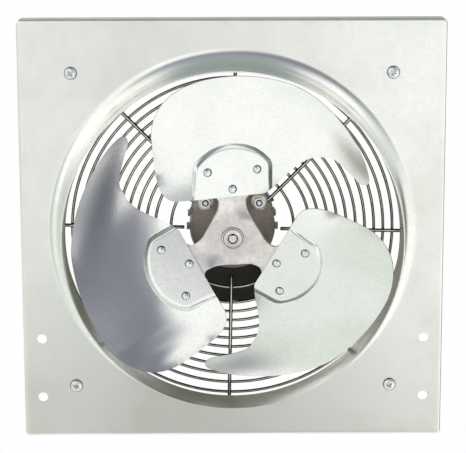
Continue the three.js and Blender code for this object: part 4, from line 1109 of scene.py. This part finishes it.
# %% End shields
def end_shield(name, rear, node):
    mouth = BOSS_R + GAP
    profile = rounded([(mouth, 0), (MOTOR_R, 0, 5.0), (MOTOR_R, SHIELD_D, 0.3),
                       (MOTOR_R - SHELL, SHIELD_D, 0.3), (MOTOR_R - SHELL, SHELL, 3.2),
                       (mouth, SHELL)], 6)
    shield = lathe(name, profile, taupe_paint, ["housing", "motor_paint", node], 96)
    tools = []
    for i in range(6):
        slot = bent_slot()
        slot.data.transform(spin((i + 0.5) * 60) @ shift(y=SHIELD_D / 2))
        tools.append(slot)
    tools += bolt_holes(-2, 5)
    if rear:
        tools.append(passage(12))
    carve(shield, tools, sharp=35)
    lugs = []
    lug_outline = rounded([(-3, -3.1, 0.8), (3, -3.1, 0.8), (3, 3.1, 0.8), (-3, 3.1, 0.8)], 3)
    for turn in (0, -20, 180, 200):
        lug = prism("lug", lug_outline, MOTOR_R - 0.9, MOTOR_R + 2.6, taupe_paint)
        soften(lug, 0.4, 2)
        lug.data.transform(spin(turn) @ shift(y=6.6) @ spin(-90, "Z"))
        lugs.append(lug)
    shield = join(name, [shield] + lugs)
    return settle(seat_at(shield, rear))


def seat_at(piece, rear):
    """Moves a front piece to the motor's face, or mirrors it to the motor's back."""
    if rear:
        piece.data.transform(shift(y=REAR_Y) @ Matrix.Diagonal((1, -1, 1, 1)))
        tidy(piece, 35)
    else:
        piece.data.transform(shift(y=MOTOR_Y))
    return piece


end_shield("front_shield_drawn", False, "motor_front_shield")
end_shield("rear_shield_drawn", True, "motor_rear_shield")
print("shields between y", round(MOTOR_Y, 1), "and", round(REAR_Y, 1))


# %% Bearing cups
def bearing_cup(name, hole, rear, node):
    """A drawn cup that holds the bearing, with its lip behind the shield."""
    lip, floor = SHELL + GAP, SHELL - BOSS_H
    profile = rounded([(hole, -BOSS_H), (BOSS_R, -BOSS_H, 1.2), (BOSS_R, lip, 0.4),
                       (BOSS_R + 2.5, lip, 0.3), (BOSS_R + 2.5, lip + 1.5, 0.3),
                       (BOSS_R, lip + 1.5, 0.4), (BOSS_R, 9.1, 0.3), (9.3, 9.1, 0.3),
                       (9.3, floor), (hole, floor)], 5)
    cup = lathe(name, profile, taupe_paint, ["housing", "motor_paint", node], 96)
    return settle(seat_at(cup, rear))


bearing_cup("front_cup_drawn", SHAFT_R + 0.4, False, "front_bearing_cup")
bearing_cup("rear_cup_drawn", 0.0, True, "rear_bearing_cup")
print("cups between y", round(MOTOR_Y - BOSS_H, 1), "and", round(REAR_Y + BOSS_H, 1))

# %% [markdown]
# ## Stator and the parts inside
# A band of laminations shows between the shields. It could be a stack of thin discs, but one
# turned ring with cut slots and a banded material looks the same from outside. The winding, the
# rotor and the bearings only glint through the vents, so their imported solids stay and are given
# the right material.

# %% Stator
STATOR_END, STATOR_BORE_R = STATOR_Y + STATOR_L, 22.5
core = lathe("stator_stack", rounded([
    (STATOR_BORE_R, STATOR_Y), (MOTOR_R, STATOR_Y, 0.3),
    (MOTOR_R, STATOR_END, 0.3), (STATOR_BORE_R, STATOR_END)], 2),
    laminations, ["housing", "laminations", "stator_core"], 96)
tools = []
for i in range(6):
    slot = prism("slot", rounded([(25.5, -4, 1), (31.5, -4, 1), (31.5, 4, 1), (25.5, 4, 1)], 3),
                 STATOR_Y - 2, STATOR_END + 2)
    slot.data.transform(spin((i + 0.5) * 60))
    tools.append(slot)
settle(carve(core, tools + bolt_holes(STATOR_Y - 2, STATOR_END + 2)))
print("stator: from y", round(STATOR_Y, 1), "to", round(STATOR_END, 1))

# %% Winding, rotor and bearings
for node, material in (("stator_winding", copper_wire), ("rotor_core", laminations),
                       ("front_bearing", bronze), ("rear_bearing", bronze)):
    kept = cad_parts[node]
    kept.data.materials.clear()
    kept.data.materials.append(material)
    print(node, "keeps its solid, in", material.name)

# %% [markdown]
# ## The wiring box
# A box of enamelled sheet hugs the underside of the motor. It has a flat cover with two slotted
# screws and a nylon grommet for the supply leads. It could be folded up from flat walls. A
# solid block, hollowed out and cut with the motor's own circle, has even corners and sits on
# the motor with an even gap.

# %% Wiring box
WALL, ROOF, BOX_ROUND, SADDLE_R = 2.5, 3.0, 4.0, MOTOR_R + 2 * GAP
box_outline = rounded([(-BOX_HALF, BOX_LOW, BOX_ROUND), (BOX_HALF, BOX_LOW, BOX_ROUND),
                       (BOX_HALF, BOX_TOP, BOX_ROUND), (-BOX_HALF, BOX_TOP, BOX_ROUND)], 6)
BUSHING_Z = (BOX_LOW - MOTOR_R) / 2 + WALL / 2
screw_places = [(side * 29.0, BOX_LOW + 6) for side in (-1, 1)]
box = prism("wiring_box_shell", box_outline, BOX_Y, BOX_Y + BOX_D, black_enamel,
            ["housing", "black_paint", "wiring_box"])
w, low, top = BOX_HALF - WALL, BOX_LOW + WALL, -MOTOR_R - GAP - ROOF
cavity = prism("cavity", rounded([(-w, low, 2), (w, low, 2), (w, top, 2), (-w, top, 2)], 4),
               BOX_Y + WALL, BOX_Y + BOX_D + 5)
saddle = prism("saddle", circle(SADDLE_R, 96), BOX_Y - 5, BOX_Y + BOX_D + 5)
carve(box, [saddle, cavity, passage(REAR_Y - 12)])
settle(soften(box, 0.5, 2, 50))
print("wiring box:", 2 * BOX_HALF, "mm wide,", BOX_D, "mm deep")

# %% Cover, its screws and the grommet
cover = prism("wiring_box_lid", box_outline, COVER_Y, COVER_Y + COVER_T, black_enamel,
              ["housing", "black_paint", "wiring_box_cover"])
tools = [prism("saddle", circle(SADDLE_R, 96), COVER_Y - 5, COVER_Y + 5),
         prism("outlet", circle(7.3, 40, (0, BUSHING_Z)), COVER_Y - 5, COVER_Y + 5)]
tools += [prism("screw_hole", circle(1.9, 24, at), COVER_Y - 5, COVER_Y + 5) for at in screw_places]
carve(cover, tools)
settle(soften(cover, 0.35, 2, 50))

y = COVER_Y + COVER_T + GAP
profile = [(0, y - 9)] + thread(y - 9, y - 1, 1.35, 1.6)
profile += [(1.6, y), (3.4, y), (3.3, y + 0.5), (2.4, y + 1.4), (0, y + 1.8)]
for i, (x, z) in enumerate(screw_places):
    screw = lathe(f"lid_screw_{i + 1}", profile, zinc_plate,
                  ["housing", "zinc", f"cover_screw_{i + 1}"], 32)
    slot = prism("slot", [(-4, -0.4), (4, -0.4), (4, 0.4), (-4, 0.4)], y + 0.9, y + 3)
    slot.data.transform(spin(35 + 50 * i))
    carve(screw, [slot])
    screw.data.transform(shift(x, 0, z))
    settle(screw)

bushing = lathe("outlet_grommet", rounded([
    (4.0, y - 6.3, 0.5), (6.0, y - 6.3, 0.4), (7.0, y - 2.3), (7.0, y), (9.5, y, 0.2),
    (8.8, y + 1.6, 0.6), (4.0, y + 1.6, 0.6)], 4),
    black_nylon, ["housing", "black_plastic", "outlet_bushing"], 48)
bushing.data.transform(shift(z=BUSHING_Z))
settle(bushing)
print("cover from y", round(COVER_Y, 1), "to", round(COVER_Y + COVER_T, 1))

# %% [markdown]
# ## The floor
# The fan stands before white paper. Stronger lamps could bleach a grey floor, but they would
# bleach the zinc as well. So the floor has a pale colour, glows a little for the camera and for
# mirrored rays, and still takes the fan's shadow.

# %% Floor
FLOOR_HALF, FLOOR_Z = 0.7, -0.7
CAMERA_GLOW, MIRROR_GLOW = 0.4, 0.3
floor_material = bpy.data.materials.new("pale_floor")
floor_material.use_nodes = True
tree = floor_material.node_tree
shader = tree.nodes["Principled BSDF"]
shader.inputs["Base Color"].default_value = linear("E7E7E5")
shader.inputs["Roughness"].default_value = 0.9
from_camera, glossy, through = (add(tree, "LightPath", out=f"Is {kind} Ray")
                                for kind in ("Camera", "Glossy", "Transmission"))
mirrored = add(tree, "Math", {0: glossy, 1: through}, operation="MAXIMUM")
glow = add(tree, "Math", {0: mirrored, 1: MIRROR_GLOW}, operation="MULTIPLY")
glow = add(tree, "Math", {0: from_camera, 1: CAMERA_GLOW, 2: glow}, operation="MULTIPLY_ADD")
light = add(tree, "Emission", {"Color": (1, 1, 1, 1), "Strength": glow})
both = add(tree, "AddShader", {0: shader.outputs[0], 1: light})
tree.links.new(both, tree.nodes["Material Output"].inputs["Surface"])

work = bmesh.new()
bmesh.ops.create_grid(work, x_segments=8, y_segments=8, size=FLOOR_HALF,
                      matrix=Matrix.Translation((0, 0, FLOOR_Z)))
floor_mesh = bpy.data.meshes.new("floor")
work.to_mesh(floor_mesh)
work.free()
floor = bpy.data.objects.new("floor", floor_mesh)
floor_mesh.materials.append(floor_material)
bpy.context.collection.objects.link(floor)
print("floor:", 2 * FLOOR_HALF, "m wide at z", FLOOR_Z)

# %% [markdown]
# ## The studio around the fan
# Bare zinc has hardly a colour of its own: its greys are what it mirrors. A picture of a room
# could be wrapped round the scene, but this one is drawn with soft gates on the direction of
# each ray. x runs to the right, y to the back and z up, all from -1 to 1. Rays straight from
# the camera see plain white.

# %% Directions, gates and things
world = bpy.data.worlds.new("studio")
bpy.context.scene.world = world
world.use_nodes = True
tree = world.node_tree
ray = add(tree, "TexCoord", out="Generated")
x, y, z = axes = [add(tree, "SeparateXYZ", {0: ray}, axis) for axis in "XYZ"]


def overlap(*gates):
    """How far a direction passes all the gates, from 0 to 1."""
    share = gates[0]
    for gate in gates[1:]:
        share = add(tree, "Math", {0: share, 1: gate}, operation="MULTIPLY")
    return share


def within(value, *limits):
    """Two limits make a soft gate that opens from the first to the second. Four make a band
    that opens between the first two and closes between the last two."""
    return overlap(*[add(tree, "MapRange", span(value, low, high), interpolation_type="SMOOTHSTEP")
                     for low, high in zip(limits[::2], limits[1::2])])


def shade(studio, colour, *gates):
    """Lays a colour over the part of the studio where all gates are open."""
    return add(tree, "Mix", {0: overlap(*gates), 6: studio, 7: colour}, 2, data_type="RGBA")


def furnish(studio, things):
    """Lays things, written (colour, x limits, y limits, z limits), over the studio in turn."""
    for code, *limits in things:
        gates = [within(axis, *pair) for axis, pair in zip(axes, limits) if pair]
        studio = shade(studio, linear(code), *gates)
    return studio


# %% Walls of the studio
studio = furnish((1, 1, 1, 1), (
    # white all round, a little darker low on the left
    ("DFE5DE", (-0.10, -0.28), (), (0.0, -0.08)),
    ("C6CAC4", (-0.80, -0.93), (), (0.38, 0.05)),
    # the wall on the right is grey above and dark below
    ("B6BABA", (0.0, 0.3), (-0.25, 0.1), (0.05, 0.2)),
    ("CED3D2", (0.36, 0.52), (0.2, 0.0), (0.0, 0.08, 0.5, 0.36)),
    ("6E6E6A", (0.2, 0.5), (-0.38, -0.18, 0.75, 0.45), (0.18, 0.06, -0.8, -0.6))))
print("nodes for the walls:", len(tree.nodes))

# %% [markdown]
# ## The canopy overhead
# The left blade is tipped up and mirrors what hangs over the fan, with a soft gleam where its
# mirror image ends. So the canopy gets an edge, from left to right, that follows that gleam.

# %% Canopy
# each pair is a place across the front (x + 0.5) and the height z of the edge there
EDGE = ((0.0, 0.50), (0.12, 0.47), (0.22, 0.39), (0.40, 0.40),
        (0.49, 0.41), (0.55, 0.23), (0.62, 0.05), (0.76, 0.0))
across = add(tree, "Math", {0: x, 1: 0.5}, operation="ADD")
heights = [(at, (height, height, height, 1)) for at, height in EDGE]
edge = add(tree, "ValToRGB", {"Fac": across}, stops=heights)
above = add(tree, "Math", {0: z, 1: edge}, operation="SUBTRACT")
front = overlap(within(above, -0.05, 0.05), within(x, -0.60, -0.38, 0.75, 0.25),
                within(y, 0.3, 0.0))
back = overlap(within(z, 0.43, 0.49), within(x, -0.60, -0.38))
canopy = add(tree, "Math", {0: front, 1: back}, operation="MAXIMUM")
# a skylight on the right lets white through
skylight = overlap(within(x, 0.35, 0.50), within(y, 0.15, -0.05), within(z, 0.34, 0.44, 0.92, 0.84))
canopy = overlap(canopy, add(tree, "MapRange", span(skylight, 0.0, 1.0, 1.0, 0.0)))
canopy = add(tree, "Math", {0: canopy, 1: within(z, 0.84, 0.92)}, operation="MAXIMUM")
# blue-grey cloth, paler towards the top and at both sides
CLOTH = ((0.1, "5C5C68"), (0.35, "62626F"), (0.55, "7A7A88"), (0.70, "92939D"), (0.92, "8E9898"))
cloth = add(tree, "ValToRGB", {"Fac": z}, stops=[(height, linear(code)) for height, code in CLOTH])
cloth = furnish(cloth, (("C4C8CA", (-0.25, -0.5), (), (0.6, 0.75, 0.95, 0.85)),
                        ("BEC2C0", (0.4, 0.7), (), (0.95, 0.85))))
studio = shade(studio, cloth, canopy)
print("nodes with the canopy:", len(tree.nodes))

# %% Dark things in the studio
studio = furnish(studio, (
    # the floor in front, and the shadow under the camera's stand
    ("9A9A8A", (-0.08, 0.0, 0.25, 0.08), (0.0, -0.3), (-0.24, -0.40, -0.68, -0.56)),
    ("50504A", (-0.08, 0.0, 0.10, 0.02), (0.0, -0.3), (-0.25, -0.33, -0.52, -0.44)),
    ("8E8E84", (-0.22, -0.08, 0.16, 0.04), (0.0, -0.3), (-0.38, -0.32, -0.22, -0.27)),
    # the stand, the grey front of the camera, and its lens
    ("12120C", (-0.14, -0.05, 0.09, 0.0), (0.0, -0.3), (-0.20, -0.24, -0.40, -0.33)),
    ("A6A8A4", (-0.15, -0.07, 0.07, -0.01), (0.0, -0.3), (-0.14, -0.10, 0.04, 0.0)),
    ("50504C", (-0.06, -0.03, 0.02, 0.0), (0.0, -0.3), (-0.15, -0.10, 0.0, -0.04)),
    # a chair to the left of it
    ("82818A", (-0.60, -0.33, -0.26, -0.32), (0.0, -0.3), (-0.45, -0.10, 0.08, 0.0))))
# the dim room behind the fan, with a strip of light that the panel's top edge mirrors
room = add(tree, "Mix", {0: within(x, -0.15, 0.1), 6: linear("88887C"), 7: linear("5C5C50")},
           2, data_type="RGBA")
studio = shade(studio, room, within(y, 0.75, 0.93))
studio = furnish(studio, (("F0F2F0", (), (0.85, 0.95), (0.01, 0.05, 0.15, 0.10)),))
print("nodes with the dark things:", len(tree.nodes))

# %% The world's light
STUDIO_LEVEL = 1.18
around = add(tree, "Background", {"Color": studio, "Strength": STUDIO_LEVEL})
plain = add(tree, "Background", {"Color": (1, 1, 1, 1), "Strength": 1.0})
from_camera = add(tree, "LightPath", out="Is Camera Ray")
mixed = add(tree, "MixShader", {0: from_camera, 1: around, 2: plain})
tree.links.new(mixed, tree.nodes["World Output"].inputs["Surface"])
print("nodes of the studio:", len(tree.nodes))

# %% [markdown]
# ## Lamps
# Two large square lamps give the painted motor its form and the floor its shadow. In the zinc
# they would show as hard white squares, so they are kept out of its reflections.

# %% Lamps
def soft_lamp(name, place, size, watts):
    lamp = bpy.data.lights.new(name, "AREA")
    lamp.shape = "SQUARE"
    lamp.size = size
    lamp.energy = watts
    thing = bpy.data.objects.new(name, lamp)
    thing.location = place
    thing.rotation_euler = (-Vector(place)).to_track_quat("-Z", "Y").to_euler()
    thing.visible_glossy = False
    bpy.context.collection.objects.link(thing)
    print(name, "lamp:", watts, "W at", place)


soft_lamp("key", (1.5, -1.4, 0.3), 1.4, 14)
soft_lamp("fill", (-1.7, -0.9, 0.6), 1.2, 9)

# %% [markdown]
# ## Camera
# The camera could be moved by eye until the picture looks right. This one was fitted: the
# panel's edges, the throat's rim, the screws and the holes give its place, its direction and
# its lens at once. It stands 1.7 m in front and looks down 11 degrees.

# %% Camera
CAMERA_AT = Vector((-10.9665, -1702.4574, 334.1263)) * MM
FORWARD = Vector((0.00659108, 0.98175421, -0.19004009))
UP = Vector((0.00421531, 0.19001525, 0.98177209))
camera_data = bpy.data.cameras.new("camera")
camera_data.sensor_width = 36
camera_data.lens = 142.97
camera_data.clip_end = 50
camera = bpy.data.objects.new("camera", camera_data)
matrix = Matrix((FORWARD.cross(UP), UP, -FORWARD)).transposed().to_4x4()
matrix.translation = CAMERA_AT
camera.matrix_world = matrix
bpy.context.collection.objects.link(camera)
bpy.context.scene.camera = camera
bpy.context.scene.view_settings.view_transform = "Standard"
print("camera:", round(CAMERA_AT.length, 3), "m from the hub")
